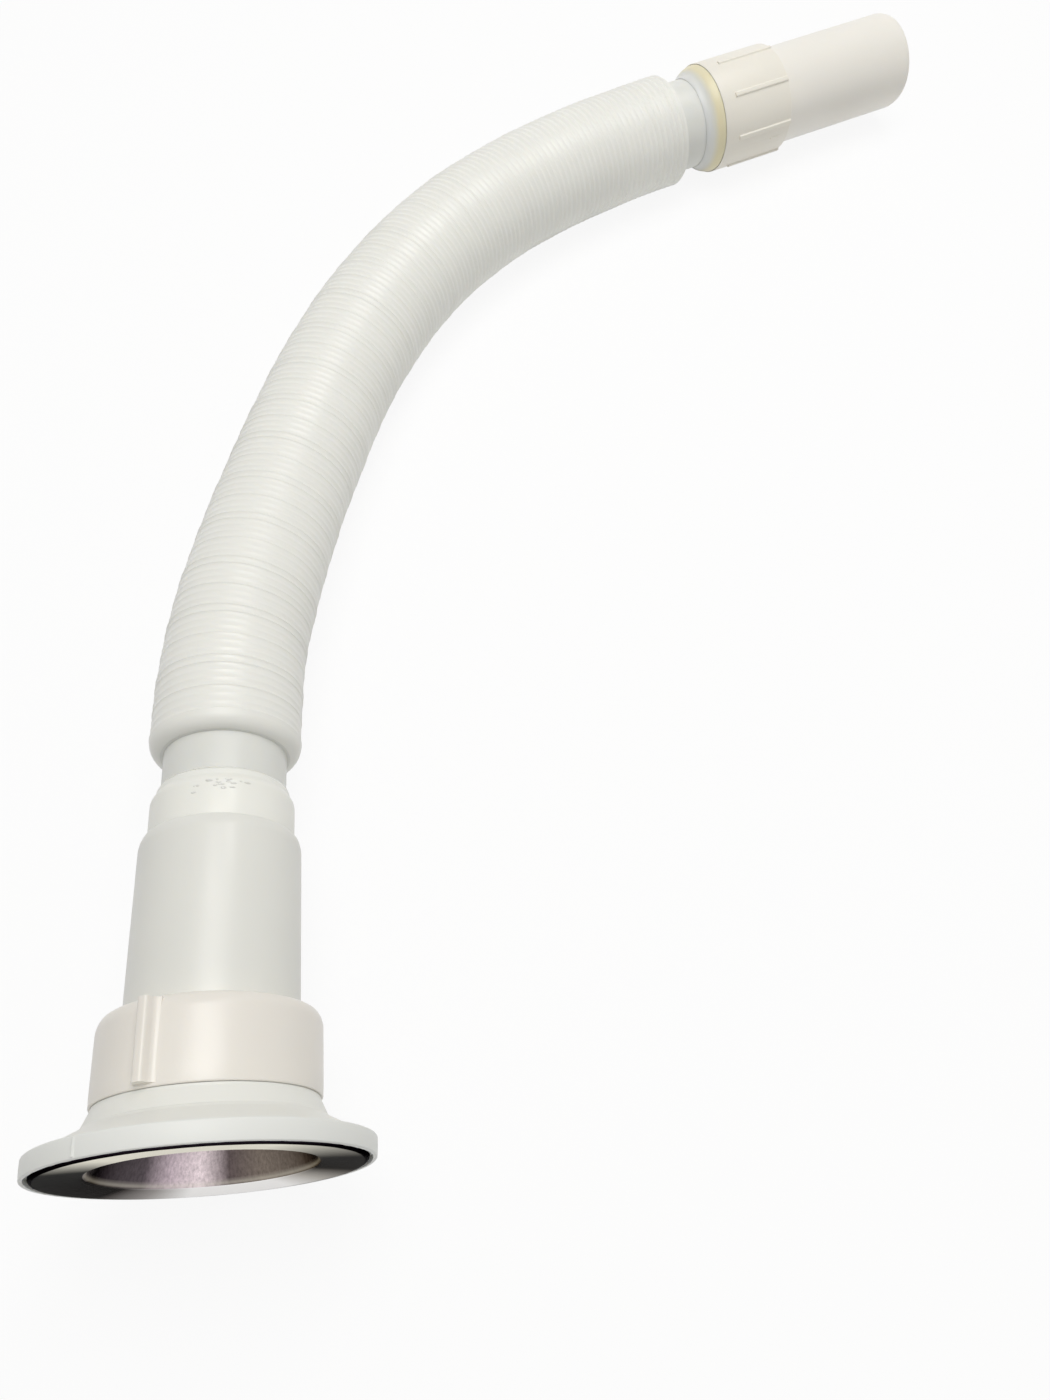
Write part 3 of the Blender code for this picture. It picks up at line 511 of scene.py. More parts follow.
bpy.ops.mesh.select_all(action="SELECT")
bpy.ops.transform.translate(value=(0, 0, START_NECK))
bpy.ops.object.mode_set(mode="OBJECT")
print(len(hose.data.polygons), "faces in the straight hose")

# %% Lay the hose along its route
start_point = fold_line[0] - sink_way * START_NECK
end_point = fold_line[-1] + outlet_way * END_NECK
lead_in = [start_point + (fold_line[0] - start_point) * t for t in np.linspace(0, 1, 12, endpoint=False)]
lead_out = [fold_line[-1] + (end_point - fold_line[-1]) * t for t in np.linspace(0, 1, 10)[1:]]
path = np.array([*lead_in, *fold_line, *lead_out])
guide_data = bpy.data.curves.new("hose_route", "CURVE")
guide_data.dimensions = "3D"
guide_data.twist_mode = "Z_UP"
guide_spline = guide_data.splines.new("POLY")
guide_spline.points.add(len(path) - 1)
for point, place in zip(guide_spline.points, path):
    point.co = (*place, 1.0)
guide = bpy.data.objects.new("hose_route", guide_data)
bpy.context.scene.collection.objects.link(guide)
bend = hose.modifiers.new("lay_on_route", "CURVE")
bend.object = guide
bend.deform_axis = "POS_Z"
apply_all(hose)
bpy.data.objects.remove(guide, do_unlink=True)
print("hose lowest point in mm:", round(min(v.co.z for v in hose.data.vertices) / MM, 3))


# %% Parting lines and milky necks
def finish_neck(axis, low, high, angle):
    """Raises the mould's parting line on a neck and gives the neck's faces the thinner, greyer look."""
    inverse = axis.matrix.inverted()
    for vertex in hose.data.vertices:
        local = inverse @ vertex.co
        turn = math.degrees(math.atan2(local.y, local.x))
        off = (turn - angle + 90) % 180 - 90
        if low < local.z < high and abs(off) < 2.9 and math.hypot(local.x, local.y) > NECK_R - 0.3 * MM:
            local.x *= 1.006
            local.y *= 1.006
            vertex.co = axis.matrix @ local
    for face in hose.data.polygons:
        local = inverse @ face.center
        if low < local.z < high and math.hypot(local.x, local.y) < NECK_R + 1.0 * MM:
            face.material_index = 1


only(hose)
bpy.ops.object.shade_smooth_by_angle(angle=math.radians(50))
hose.data.materials.clear()
hose.data.materials.append(hose_white)
hose.data.materials.append(neck_milky)
SEAM = -46.0
finish_neck(sink, 70 * MM, 116.6 * MM, SEAM)
finish_neck(outlet, -1.6 * MM, 40 * MM, SEAM)
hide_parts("hose")
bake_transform(hose)
print(sum(f.material_index for f in hose.data.polygons), "neck faces")

# %% [markdown]
# ## The sink end
#
# The gasket is a soft ring hooked over the flange of the body. The body's cone and thread stand behind it, the big nut
# covers the thread, and the sleeve comes out of the nut. Each is drawn from what the frame's own node measures.

# %% Gasket
gasket_size = sink.measure("sink_gasket")
GASKET_R = gasket_size["outer"]
GASKET_BACK = 3.3 * MM
GASKET_LIP = -1.7 * MM
LIP_R = 41.75 * MM
FLANGE_R = 41.6 * MM
GASKET_FACE = 1.4 * MM
FOOT_R = 31.0 * MM
gasket = turned("gasket_ring", [
    (FOOT_R, 0.0, 0.3 * MM),
    (LIP_R - 0.1 * MM, 0.0, 0.0),
    (LIP_R, GASKET_LIP, 0.12 * MM),
    (GASKET_R - 0.22 * MM, GASKET_LIP, 0.35 * MM),
    (GASKET_R, 0.95 * MM, 0.0),
    (GASKET_R, GASKET_BACK, 0.5 * MM),
    (FLANGE_R + 0.3 * MM, GASKET_BACK + 0.25 * MM, 0.25 * MM),
    (FLANGE_R + 0.25 * MM, GASKET_FACE, 0.0),
    (FOOT_R, GASKET_FACE, 0.3 * MM),
], steps=160)
for vertex in gasket.data.vertices:
    if vertex.co.z < GASKET_LIP + 0.2 * MM and math.hypot(vertex.co.x, vertex.co.y) < LIP_R + 0.3 * MM:
        turn = math.atan2(vertex.co.y, vertex.co.x)
        ragged = math.sin(17 * turn) * math.sin(29 * turn + 1) + 0.6 * math.sin(61 * turn)
        vertex.co.xy *= 1 + 0.0035 * ragged
seam = bar("gasket_seam", [
    (GASKET_R - 1.0 * MM, -0.7 * MM, 0.0),
    (GASKET_R - 0.03 * MM, -0.5 * MM, 0.1 * MM),
    (GASKET_R + 0.12 * MM, 0.0, 0.1 * MM),
    (GASKET_R - 0.03 * MM, 0.5 * MM, 0.1 * MM),
    (GASKET_R - 1.0 * MM, 0.7 * MM, 0.0),
], GASKET_LIP + 0.5 * MM, GASKET_BACK - GASKET_LIP - 0.9 * MM, -116.0, 0.12 * MM)
combine(gasket, seam, "UNION")
settle(gasket, sink)
dress(gasket, gasket_white, "soft_white", "sink_end", "sink_gasket")

# %% Body: flange, foot, cone and thread
body_size = sink.measure("waste_body")
FOOT_START = 8.6 * MM
CONE_END = 13.7 * MM
THREAD_R = 26.4 * MM
THREAD_CORE_R = 25.4 * MM
BODY_BORE_R = 24.3 * MM
body = turned("waste_body_shell", [
    (28.0 * MM, GASKET_FACE + 0.1 * MM, 0.3 * MM),
    (FLANGE_R, GASKET_FACE + 0.1 * MM, 0.2 * MM),
    (FLANGE_R, GASKET_BACK - 0.5 * MM, 0.3 * MM),
    (FOOT_R + 0.5 * MM, FOOT_START - 0.3 * MM, 0.5 * MM),
    (FOOT_R, FOOT_START + 0.3 * MM, 0.15 * MM),
    (FOOT_R - 0.35 * MM, FOOT_START + 0.5 * MM, 0.1 * MM),
    (28.7 * MM, CONE_END - 0.3 * MM, 0.3 * MM),
    (28.6 * MM, CONE_END + 0.42 * MM, 0.1 * MM),
    (27.6 * MM, CONE_END + 0.48 * MM, 0.1 * MM),
    (THREAD_R, CONE_END + 0.7 * MM, 0.1 * MM),
    (THREAD_R, CONE_END + 1.4 * MM, 0.1 * MM),
    (THREAD_CORE_R, CONE_END + 1.9 * MM, 0.2 * MM),
    (THREAD_CORE_R, body_size["end"], 0.4 * MM),
    (BODY_BORE_R, body_size["end"], 0.3 * MM),
    (BODY_BORE_R, CONE_END + 0.6 * MM, 1.2 * MM),
    (28.0 * MM, FOOT_START, 1.2 * MM),
])
add_thread(body, THREAD_CORE_R, THREAD_R, CONE_END + 3.9 * MM, 4)
HUB_START = 19.3 * MM
HUB_END = 28.8 * MM
hub = turned("hub", [
    (5.3 * MM, HUB_START, 0.3 * MM),
    (7.5 * MM, HUB_START, 0.3 * MM),
    (7.5 * MM, HUB_END, 0.3 * MM),
    (5.3 * MM, HUB_END, 0.3 * MM),
], steps=48)
combine(body, hub, "UNION")
for i in range(4):
    spoke = bar("spoke", [
        (6.6 * MM, -1.1 * MM, 0.0),
        (BODY_BORE_R + 0.8 * MM, -1.1 * MM, 0.0),
        (BODY_BORE_R + 0.8 * MM, 1.1 * MM, 0.0),
        (6.6 * MM, 1.1 * MM, 0.0),
    ], HUB_START, HUB_END - HUB_START, 45 + 90 * i, 0.3 * MM)
    combine(body, spoke, "UNION")
settle(body, sink)
dress(body, body_white, "white_plastic", "sink_end", "waste_body")

# %% [markdown]
# ## The strainer
#
# The strainer is pressed from one steel sheet: a flat flange with its rim curled back, a rounded mouth, a steep cup
# and a floor with drain holes. The middle of the sheet is drawn as one open line and spun. Solidify then gives it the
# sheet's thickness, and the holes are cut through the floor. Pressed steel is brushed round its axis; the brushing's
# fine noise roughens and bumps it and breaks the cup's painted reflections into streaks that run down the wall. The
# steel's colour holds painted light: painted reflections and painted shade that change with the angle round the axis on
# the cup and the flange, a painted highlight band at the mouth, and painted shadow at the flange's outer edge.

# %% Press the dish
def arc_points(centre, radius, start, end, steps):
    """Points (radius, station) of a round stretch between two angles in degrees."""
    turns = [math.radians(start + (end - start) * i / steps) for i in range(steps + 1)]
    return [(centre[0] + radius * math.cos(a), centre[1] + radius * math.sin(a)) for a in turns]


SHEET = 0.8 * MM
DISH_R = 40.7 * MM
MOUTH_R = 28.0 * MM
RIM_LINE = -1.62 * MM
MOUTH_LINE = -0.9 * MM
FLOOR_LINE = 17.4 * MM
CUP_FOOT_R = 23.2 * MM
line = [(3.2 * MM, FLOOR_LINE)]
line += arc_points((CUP_FOOT_R - 2.0 * MM, FLOOR_LINE - 2.0 * MM), 2.0 * MM, 90, 4, 8)
line += [(MOUTH_R - 1.0 * MM, MOUTH_LINE + 4.0 * MM)]
line += arc_points((MOUTH_R + 1.5 * MM, MOUTH_LINE + 1.5 * MM), 1.5 * MM, 188, 266, 10)
line += [(34.0 * MM, -1.2 * MM), (DISH_R - 1.6 * MM, RIM_LINE)]
line += arc_points((DISH_R - 0.9 * MM, RIM_LINE + 0.7 * MM), 0.7 * MM, 275, 360, 6)
dish = draw_line("strainer_pressing", line)
spin_full(128)
sheet = dish.modifiers.new("sheet", "SOLIDIFY")
sheet.thickness = SHEET
sheet.offset = 0.0
apply_all(dish)
for i in range(8):
    turn = math.tau * (i + 0.5) / 8
    place = (13.5 * MM * math.cos(turn), 13.5 * MM * math.sin(turn), FLOOR_LINE)
    nothing_selected()
    bpy.ops.mesh.primitive_cylinder_add(vertices=32, radius=3.5 * MM, depth=3 * MM, location=place)
    combine(dish, bpy.context.object, "DIFFERENCE")
settle(dish, sink, sharp=40)

# %% Clamp screw
head_front = 14.3 * MM
screw_piece = turned("strainer_screw", [
    (0.02 * MM, head_front, 0.0),
    (3.4 * MM, head_front + 0.1 * MM, 1.0 * MM),
    (5.2 * MM, head_front + 1.6 * MM, 0.3 * MM),
    (5.2 * MM, head_front + 2.4 * MM, 0.1 * MM),
    (2.9 * MM, head_front + 2.4 * MM, 0.0),
    (2.9 * MM, 30.0 * MM, 0.0),
    (2.1 * MM, 30.8 * MM, 0.0),
    (0.02 * MM, 30.8 * MM, 0.0),
], steps=48)
bpy.ops.object.mode_set(mode="EDIT")
bpy.ops.mesh.select_all(action="SELECT")
bpy.ops.mesh.remove_doubles(threshold=0.05 * MM)
bpy.ops.mesh.normals_make_consistent(inside=False)
bpy.ops.object.mode_set(mode="OBJECT")
nothing_selected()
bpy.ops.mesh.primitive_cube_add(size=1.0, location=(0, 0, head_front))
slot_tool = bpy.context.object
slot_tool.scale = (12 * MM, 1.3 * MM, 2.4 * MM)
combine(screw_piece, slot_tool, "DIFFERENCE")
settle(screw_piece, sink)

# %% Brushed steel
def ramp_node(tree, place, stops):
    """A colour ramp from (position, colour) stops."""
    made = tree.nodes.new("ShaderNodeValToRGB")
    made.location = place
    elements = made.color_ramp.elements
    while len(elements) < len(stops):
        elements.new(0.5)
    for element, (position, colour) in zip(elements, stops):
        element.position = position
        element.color = (*colour, 1.0)
    return made


def colour_mix(tree, place, factor, first, second, blend="MIX"):
    made = tree.nodes.new("ShaderNodeMix")
    made.data_type = "RGBA"
    made.blend_type = blend
    made.location = place
    for name, value in (("Factor", factor), ("A", first), ("B", second)):
        socket = next(s for s in made.inputs if s.name == name and (s.type == "RGBA") == (name != "Factor"))
        if hasattr(value, "links"):
            tree.links.new(value, socket)
        else:
            socket.default_value = value
    return next(s for s in made.outputs if s.type == "RGBA")


def brushed_steel_with_painted_light(name, axis):
    """Brushed steel with painted light: painted reflections and shade by angle on cup and flange, streaked down the
    cup's wall, a painted highlight at the mouth and painted shadow at the flange's edge.
    """
    made = bpy.data.materials.new(name)
    made.use_nodes = True
    tree = made.node_tree
    shader = tree.nodes["Principled BSDF"]
    shader.inputs["Metallic"].default_value = 1.0
    place = add_node(tree, "ShaderNodeTexCoord", (-1900, 0))
    inverse = axis.matrix.inverted()
    centred = add_node(tree, "ShaderNodeMapping", (-1700, 0))
    centred.inputs["Location"].default_value = inverse.to_translation()
    centred.inputs["Rotation"].default_value = inverse.to_euler()
    tree.links.new(place.outputs["Object"], centred.inputs["Vector"])
    parts = add_node(tree, "ShaderNodeSeparateXYZ", (-1500, 0))
    tree.links.new(centred.outputs["Vector"], parts.inputs["Vector"])

    def maths(operation, place, first, second=None):
        node = add_node(tree, "ShaderNodeMath", place)
        node.operation = operation
        for socket, value in zip(node.inputs, (first, second)):
            if hasattr(value, "links"):
                tree.links.new(value, socket)
            elif value is not None:
                socket.default_value = value
        return node.outputs["Value"]

    x, y, z = parts.outputs["X"], parts.outputs["Y"], parts.outputs["Z"]
    turn = maths("ARCTAN2", (-1300, 200), y, x)
    deep = maths("MULTIPLY", (-1300, 0), z, 22.0)
    squares = maths("ADD", (-1150, -200), maths("POWER", (-1300, -150), x, 2.0), maths("POWER", (-1300, -300), y, 2.0))
    radius = maths("SQRT", (-1000, -200), squares)
    joined = add_node(tree, "ShaderNodeCombineXYZ", (-1100, 50))
    tree.links.new(turn, joined.inputs["X"])
    tree.links.new(deep, joined.inputs["Y"])
    fine = add_node(tree, "ShaderNodeTexNoise", (-900, 150), Scale=34.0, Detail=5.0, Roughness=0.7)
    broad = add_node(tree, "ShaderNodeTexNoise", (-900, -50), Scale=3.2, Detail=2.0)
    tree.links.new(joined.outputs["Vector"], fine.inputs["Vector"])
    tree.links.new(joined.outputs["Vector"], broad.inputs["Vector"])
    # 0 is on the right, 0.25 at the bottom, 0.5 on the left and 0.75 on top
    share = maths("FRACT", (-900, 350), maths("MULTIPLY", (-1100, 350), turn, 1 / math.tau))
    # painted reflection and painted shade on the cup's wall by angle: a pinkish lit patch low on the wall, a bright far
    # wall on top, dark sides
    cup = ramp_node(tree, (-700, 400), (
        (0.00, (0.10, 0.085, 0.07)),
        (0.10, (0.13, 0.105, 0.085)),
        (0.20, (0.22, 0.18, 0.15)),
        (0.255, (0.13, 0.10, 0.10)),
        (0.30, (0.90, 0.77, 0.80)),
        (0.345, (0.62, 0.51, 0.56)),
        (0.39, (0.11, 0.09, 0.10)),
        (0.50, (0.045, 0.04, 0.042)),
        (0.62, (0.80, 0.76, 0.74)),
        (0.88, (0.80, 0.76, 0.74)),
        (1.00, (0.10, 0.085, 0.07)),
    ))
    # painted reflection and painted shade on the flange by angle: bright at the bottom and near the top, dark at the
    # sides
    flange_painted_reflection = ramp_node(tree, (-700, 650), (
        (0.00, (0.11, 0.107, 0.105)),
        (0.08, (0.12, 0.115, 0.11)),
        (0.14, (0.55, 0.53, 0.50)),
        (0.19, (0.88, 0.87, 0.86)),
        (0.31, (0.88, 0.87, 0.86)),
        (0.36, (0.45, 0.43, 0.42)),
        (0.42, (0.11, 0.105, 0.103)),
        (0.60, (0.10, 0.10, 0.098)),
        (0.68, (0.85, 0.83, 0.75)),
        (0.86, (0.85, 0.83, 0.75)),
        (1.00, (0.11, 0.107, 0.105)),
    ))
    tree.links.new(share, cup.inputs["Fac"])
    tree.links.new(share, flange_painted_reflection.inputs["Fac"])
    # the fine brushing noise breaks the cup's painted reflection into streaks down the wall
    streaked = add_node(tree, "ShaderNodeMapRange", (-700, 150), From_Min=0.25, From_Max=0.75, To_Min=0.48, To_Max=1.20)
    tree.links.new(fine.outputs["Fac"], streaked.inputs["Value"])
    grey = add_node(tree, "ShaderNodeCombineColor", (-500, 150))
    for channel in grey.inputs:
        tree.links.new(streaked.outputs["Result"], channel)
    cup_painted_light = colour_mix(tree, (-300, 350), 1.0, cup.outputs["Color"], grey.outputs["Color"], "MULTIPLY")
    # painted highlight: a bright yellowish band round the mouth, about 28 mm from the axis
    lip_painted_highlight = ramp_node(tree, (-500, -250), (
        (0.0, (0.0, 0.0, 0.0)),
        (0.38, (0.0, 0.0, 0.0)),
        (0.48, (0.3, 0.3, 0.3)),
        (0.53, (0.3, 0.3, 0.3)),
        (0.66, (0.0, 0.0, 0.0)),
    ))
    radial = add_node(tree, "ShaderNodeMapRange", (-700, -250), From_Min=26.0 * MM, From_Max=30.0 * MM)
    tree.links.new(radius, radial.inputs["Value"])
    tree.links.new(radial.outputs["Result"], lip_painted_highlight.inputs["Fac"])
    # inside 28.6 mm the cup's painted light, outside it the flange's painted reflection
    outside = maths("GREATER_THAN", (-500, 0), radius, 28.6 * MM)
    painted_light_by_zone = colour_mix(tree, (-100, 450), outside, cup_painted_light, flange_painted_reflection.outputs["Color"])
    with_painted_lip_highlight = colour_mix(tree, (100, 350), lip_painted_highlight.outputs["Color"], painted_light_by_zone, (0.70, 0.66, 0.56, 1.0))
    # painted shadow: the flange's outer edge turns near-black, with a ragged border, where the gap to the gasket lies
    # in shade
    ragged = maths("ADD", (-700, -500), radius, maths("MULTIPLY", (-900, -500), broad.outputs["Fac"], 0.8 * MM))
    rim_painted_shadow = ramp_node(tree, (-300, -500), (
        (0.0, (0.0, 0.0, 0.0)),
        (0.50, (0.0, 0.0, 0.0)),
        (0.56, (1.0, 1.0, 1.0)),
    ))
    edge = add_node(tree, "ShaderNodeMapRange", (-500, -500), From_Min=38.0 * MM, From_Max=42.0 * MM)
    tree.links.new(ragged, edge.inputs["Value"])
    tree.links.new(edge.outputs["Result"], rim_painted_shadow.inputs["Fac"])
    whole = colour_mix(tree, (300, 300), rim_painted_shadow.outputs["Color"], with_painted_lip_highlight, (0.012, 0.008, 0.012, 1.0))
    tree.links.new(whole, shader.inputs["Base Color"])
    tree.links.new(whole, shader.inputs["Specular Tint"])
    gloss = add_node(tree, "ShaderNodeMapRange", (-450, -750), From_Min=0.3, From_Max=0.7, To_Min=0.30, To_Max=0.42)
    tree.links.new(fine.outputs["Fac"], gloss.inputs["Value"])
    tree.links.new(gloss.outputs["Result"], shader.inputs["Roughness"])
    bump = add_node(tree, "ShaderNodeBump", (-450, -1000), Strength=0.2, Distance=0.1 * MM)
    tree.links.new(fine.outputs["Fac"], bump.inputs["Height"])
    tree.links.new(bump.outputs["Normal"], shader.inputs["Normal"])
    return made


# steel whose colour holds painted reflections, painted shade, a painted highlight and painted shadow
steel = brushed_steel_with_painted_light("brushed_steel_with_painted_light", sink)
dress(dish, steel, "stainless_steel", "sink_end", "strainer_dish")
dress(screw_piece, steel, "stainless_steel", "sink_end", "clamp_screw")
print("steel pieces dressed")

# %% [markdown]
# ## The big nut
#
# The nut is a wide ring with a sloping shoulder and two lugs for the hand. A lug is no plain block: its foot runs into
# the nut with a small fillet and its corners are rounded. So it is drawn as a section with a concave corner on each
# side, extruded along the axis and united with the ring.

# %% Nut and lugs
nut_size = sink.measure("sink_union_nut")
NUT_R = 29.25 * MM
NUT_BORE_R = 26.9 * MM
NUT_START = 14.2 * MM
NUT_END = 36.5 * MM
NUT_SEAT = 35.95 * MM
nut = turned("big_union_nut", [
    (28.0 * MM, NUT_START + 0.3 * MM, 0.15 * MM),
    (28.5 * MM, NUT_START, 0.15 * MM),
    (NUT_R - 0.1 * MM, NUT_START, 0.45 * MM),
    (NUT_R, NUT_START + 4.0 * MM, 0.0),
    (NUT_R, NUT_END - 2.6 * MM, 1.5 * MM),
    (27.7 * MM, NUT_END - 0.25 * MM, 0.9 * MM),
    (nut_size["inner"] + 0.15 * MM, NUT_END, 0.12 * MM),
    (nut_size["inner"], NUT_END - 0.3 * MM, 0.0),
    (nut_size["inner"], NUT_SEAT, 0.0),
    (26.6 * MM, NUT_SEAT, 0.0),
    (NUT_BORE_R, NUT_END - 3.4 * MM, 0.0),
    (NUT_BORE_R, NUT_START + 1.6 * MM, 0.3 * MM),
    (28.0 * MM, NUT_START + 1.2 * MM, 0.15 * MM),
])
LUG_ANGLES = (-106.0, 74.0)
LUG_TOP_R = NUT_R + 3.2 * MM
for angle in LUG_ANGLES:
    side = [
        (NUT_R - 1.9 * MM, 3.3 * MM, 0.0),
        (NUT_R - 0.22 * MM, 3.3 * MM, 0.0),
        (NUT_R + 0.35 * MM, 1.95 * MM, 0.9 * MM),
        (LUG_TOP_R, 1.3 * MM, 0.75 * MM),
    ]
    section = [(r, -t, c) for r, t, c in side] + side[::-1]
    lug = bar("lug", section, NUT_START + 0.9 * MM, 20.2 * MM, angle, 0.7 * MM)
    combine(nut, lug, "UNION")
settle(nut, sink, sharp=30)
dress(nut, nut_white, "warm_white_plastic", "sink_nut", "sink_union_nut")

# %% [markdown]
# ## Sleeve, collar and glue
#
# A plain sleeve comes out of the big nut. A collar is plugged into it and glued round the hose's neck. The collar is a
# smooth band that steps in to a thin lip, and a little yellowed glue has oozed out over that lip. The glue is a soft
# ring whose points are pushed in and out unevenly.

# %% Sleeve
sleeve_size = sink.measure("sleeve")
SLEEVE_R = 23.2 * MM
SLEEVE_TOP_R = SLEEVE_R - 0.2 * MM
sleeve = turned("sleeve_tube", [
    (sleeve_size["inner"], sleeve_size["start"], 0.0),
    (sleeve_size["outer"], sleeve_size["start"], 0.4 * MM),
    (sleeve_size["outer"], sleeve_size["start"] + 2.6 * MM, 0.4 * MM),
    (SLEEVE_R, sleeve_size["start"] + 2.6 * MM, 0.0),
    (SLEEVE_TOP_R, sleeve_size["end"] - 2.6 * MM, 1.6 * MM),
    (sleeve_size["inner"] + 0.75 * MM, sleeve_size["end"] - 0.35 * MM, 0.6 * MM),
    (sleeve_size["inner"] + 0.1 * MM, sleeve_size["end"], 0.08 * MM),
    (sleeve_size["inner"], sleeve_size["end"] - 0.5 * MM, 0.0),
])
settle(sleeve, sink)
dress(sleeve, sleeve_white, "white_plastic", "sink_end", "sleeve")

# %% Collar
collar_size = sink.measure("hose_collar")
COLLAR_BORE_R = 18.6 * MM
COLLAR_BAND_END = sleeve_size["end"] + 11.4 * MM
COLLAR_END = collar_size["end"] - 1.4 * MM
collar = turned("collar_band", [
    (collar_size["inner"], collar_size["start"], 0.2 * MM),
    (collar_size["outer"] - 0.3 * MM, collar_size["start"], 0.4 * MM),
    (collar_size["outer"], collar_size["start"] + 2.0 * MM, 0.0),
    (collar_size["outer"], COLLAR_BAND_END - 0.2 * MM, 0.8 * MM),
    (19.9 * MM, COLLAR_BAND_END + 1.4 * MM, 0.4 * MM),
    (19.55 * MM, COLLAR_BAND_END + 1.9 * MM, 0.25 * MM),
    (19.4 * MM, COLLAR_END - 0.5 * MM, 0.25 * MM),
    (18.9 * MM, COLLAR_END, 0.12 * MM),
    (COLLAR_BORE_R, COLLAR_END, 0.0),
    (COLLAR_BORE_R, collar_size["start"] + 3.0 * MM, 0.0),
    (collar_size["inner"], collar_size["start"] + 3.0 * MM, 0.2 * MM),
])
settle(collar, sink)
dress(collar, collar_white, "white_plastic", "sink_end", "hose_collar")


# %% Glue at the lip
GLUE_FLECKS = 16
glue = turned("collar_glue", [
    (NECK_R - 0.25 * MM, COLLAR_END - 0.4 * MM, 0.0),
    (COLLAR_BORE_R + 0.35 * MM, COLLAR_END - 0.2 * MM, 0.12 * MM),
    (COLLAR_BORE_R + 0.05 * MM, COLLAR_END + 0.3 * MM, 0.12 * MM),
    (NECK_R - 0.25 * MM, COLLAR_END + 0.8 * MM, 0.0),
])
for vertex in glue.data.vertices:
    if math.hypot(vertex.co.x, vertex.co.y) > NECK_R:
        turn = math.atan2(vertex.co.y, vertex.co.x)
        swell = 0.5 + 0.3 * math.sin(3 * turn + 0.7) + 0.2 * math.sin(8 * turn + 1.4)
        vertex.co.xy *= 1 + 0.012 * swell
        vertex.co.z += 0.35 * MM * swell
scatter = random.Random(7)
for i in range(GLUE_FLECKS):
    angle = math.radians(scatter.gauss(-76, 13))
    station = COLLAR_BAND_END - abs(scatter.gauss(0, 2.2)) * MM - 0.6 * MM
    nothing_selected()
    bpy.ops.mesh.primitive_ico_sphere_add(subdivisions=2, radius=1.0)
    fleck = bpy.context.object
    fleck.scale = (0.11 * MM, scatter.uniform(0.4, 1.2) * MM, scatter.uniform(0.2, 0.4) * MM)
    fleck.rotation_euler = (0, 0, angle)
    reach = collar_size["outer"] - 0.02 * MM
    fleck.location = (reach * math.cos(angle), reach * math.sin(angle), station)
    bpy.ops.object.transform_apply(location=True, rotation=True, scale=True)
    only(glue)
    fleck.select_set(True)
    bpy.ops.object.join()
settle(glue, sink, sharp=60)
glue_clear = plastic("glue_clear", (0.86, 0.85, 0.78), roughness=0.1, milk=0.3, grain=0.02)
dress(glue, glue_clear, "milky_plastic", "sink_end")

# %% [markdown]
# ## The outlet end
#
# The cup flares out from the hose's far neck. It is moulded in a milkier plastic, which turns yellowish where it is
# thickest, so its colour follows the distance along the axis. The nut on it has eight flat-topped ribs, and the spigot
# is a plain tube with a small bevel at its end.

# %% Cup with its thread
cup_size = outlet.measure("coupling_cup")
CUP_R = 22.1 * MM
CUP_LIP = 9.2 * MM
CUP_THREAD_R = 20.9 * MM
CUP_CORE_R = 19.9 * MM
CUP_SHOULDER = 17.2 * MM
cup = turned("flared_cup", [
    (COLLAR_BORE_R - 0.2 * MM, CUP_LIP, 0.0),
    (18.5 * MM, CUP_LIP, 0.1 * MM),
    (19.2 * MM, CUP_LIP + 2.2 * MM, 1.0 * MM),
    (21.1 * MM, CUP_LIP + 4.3 * MM, 0.9 * MM),
    (CUP_R - 0.1 * MM, CUP_LIP + 6.6 * MM, 1.0 * MM),
    (CUP_R + 0.1 * MM, CUP_SHOULDER, 0.1 * MM),
    (CUP_CORE_R, CUP_SHOULDER + 0.4 * MM, 0.2 * MM),
    (CUP_CORE_R, cup_size["end"], 0.4 * MM),
    (cup_size["inner"], cup_size["end"], 0.2 * MM),
    (cup_size["inner"], 29.3 * MM, 0.0),
    (COLLAR_BORE_R - 0.2 * MM, 29.3 * MM, 0.0),
])
add_thread(cup, CUP_CORE_R, CUP_THREAD_R, CUP_SHOULDER + 5.0 * MM, 7)
settle(cup, outlet)
tree = cup_milky.node_tree
mix = next(n for n in tree.nodes if n.type == "MIX")
place = next(n for n in tree.nodes if n.type == "TEX_COORD")
along = add_node(tree, "ShaderNodeVectorMath", (-900, 500))
along.operation = "DOT_PRODUCT"
along.inputs[1].default_value = outlet.matrix.col[2][:3]
tree.links.new(place.outputs["Object"], along.inputs[0])
origin = outlet.point(0).dot(Vector(outlet.matrix.col[2][:3]))
share = add_node(tree, "ShaderNodeMapRange", (-700, 500))
share.inputs["From Min"].default_value = origin + CUP_LIP + 2.6 * MM
share.inputs["From Max"].default_value = origin + CUP_LIP + 5.4 * MM
share.interpolation_type = "SMOOTHSTEP"
tree.links.new(along.outputs["Value"], share.inputs["Value"])
tree.links.new(share.outputs["Result"], mix.inputs["Factor"])
dress(cup, cup_milky, "milky_plastic", "outlet_end", "coupling_cup")

# %% Ribbed nut
ribbed_size = outlet.measure("outlet_union_nut")
RIBBED_R = 22.55 * MM
RIBBED_START = 17.2 * MM
RIBBED_END = ribbed_size["end"] - 0.7 * MM
RIB_START = 24.0 * MM
RIB_ANGLE = -7.0
RIBS = 8
ribbed = turned("ribbed_union_nut", [
    (22.25 * MM, RIBBED_START, 0.08 * MM),
    (RIBBED_R, RIBBED_START, 0.12 * MM),
    (RIBBED_R, RIBBED_END, 0.45 * MM),
    (ribbed_size["inner"], RIBBED_END, 0.15 * MM),
    (ribbed_size["inner"], 49.2 * MM, 0.0),
    (21.3 * MM, 49.2 * MM, 0.0),
    (21.3 * MM, RIBBED_START + 2.2 * MM, 0.1 * MM),
    (22.25 * MM, RIBBED_START + 0.6 * MM, 0.1 * MM),
])


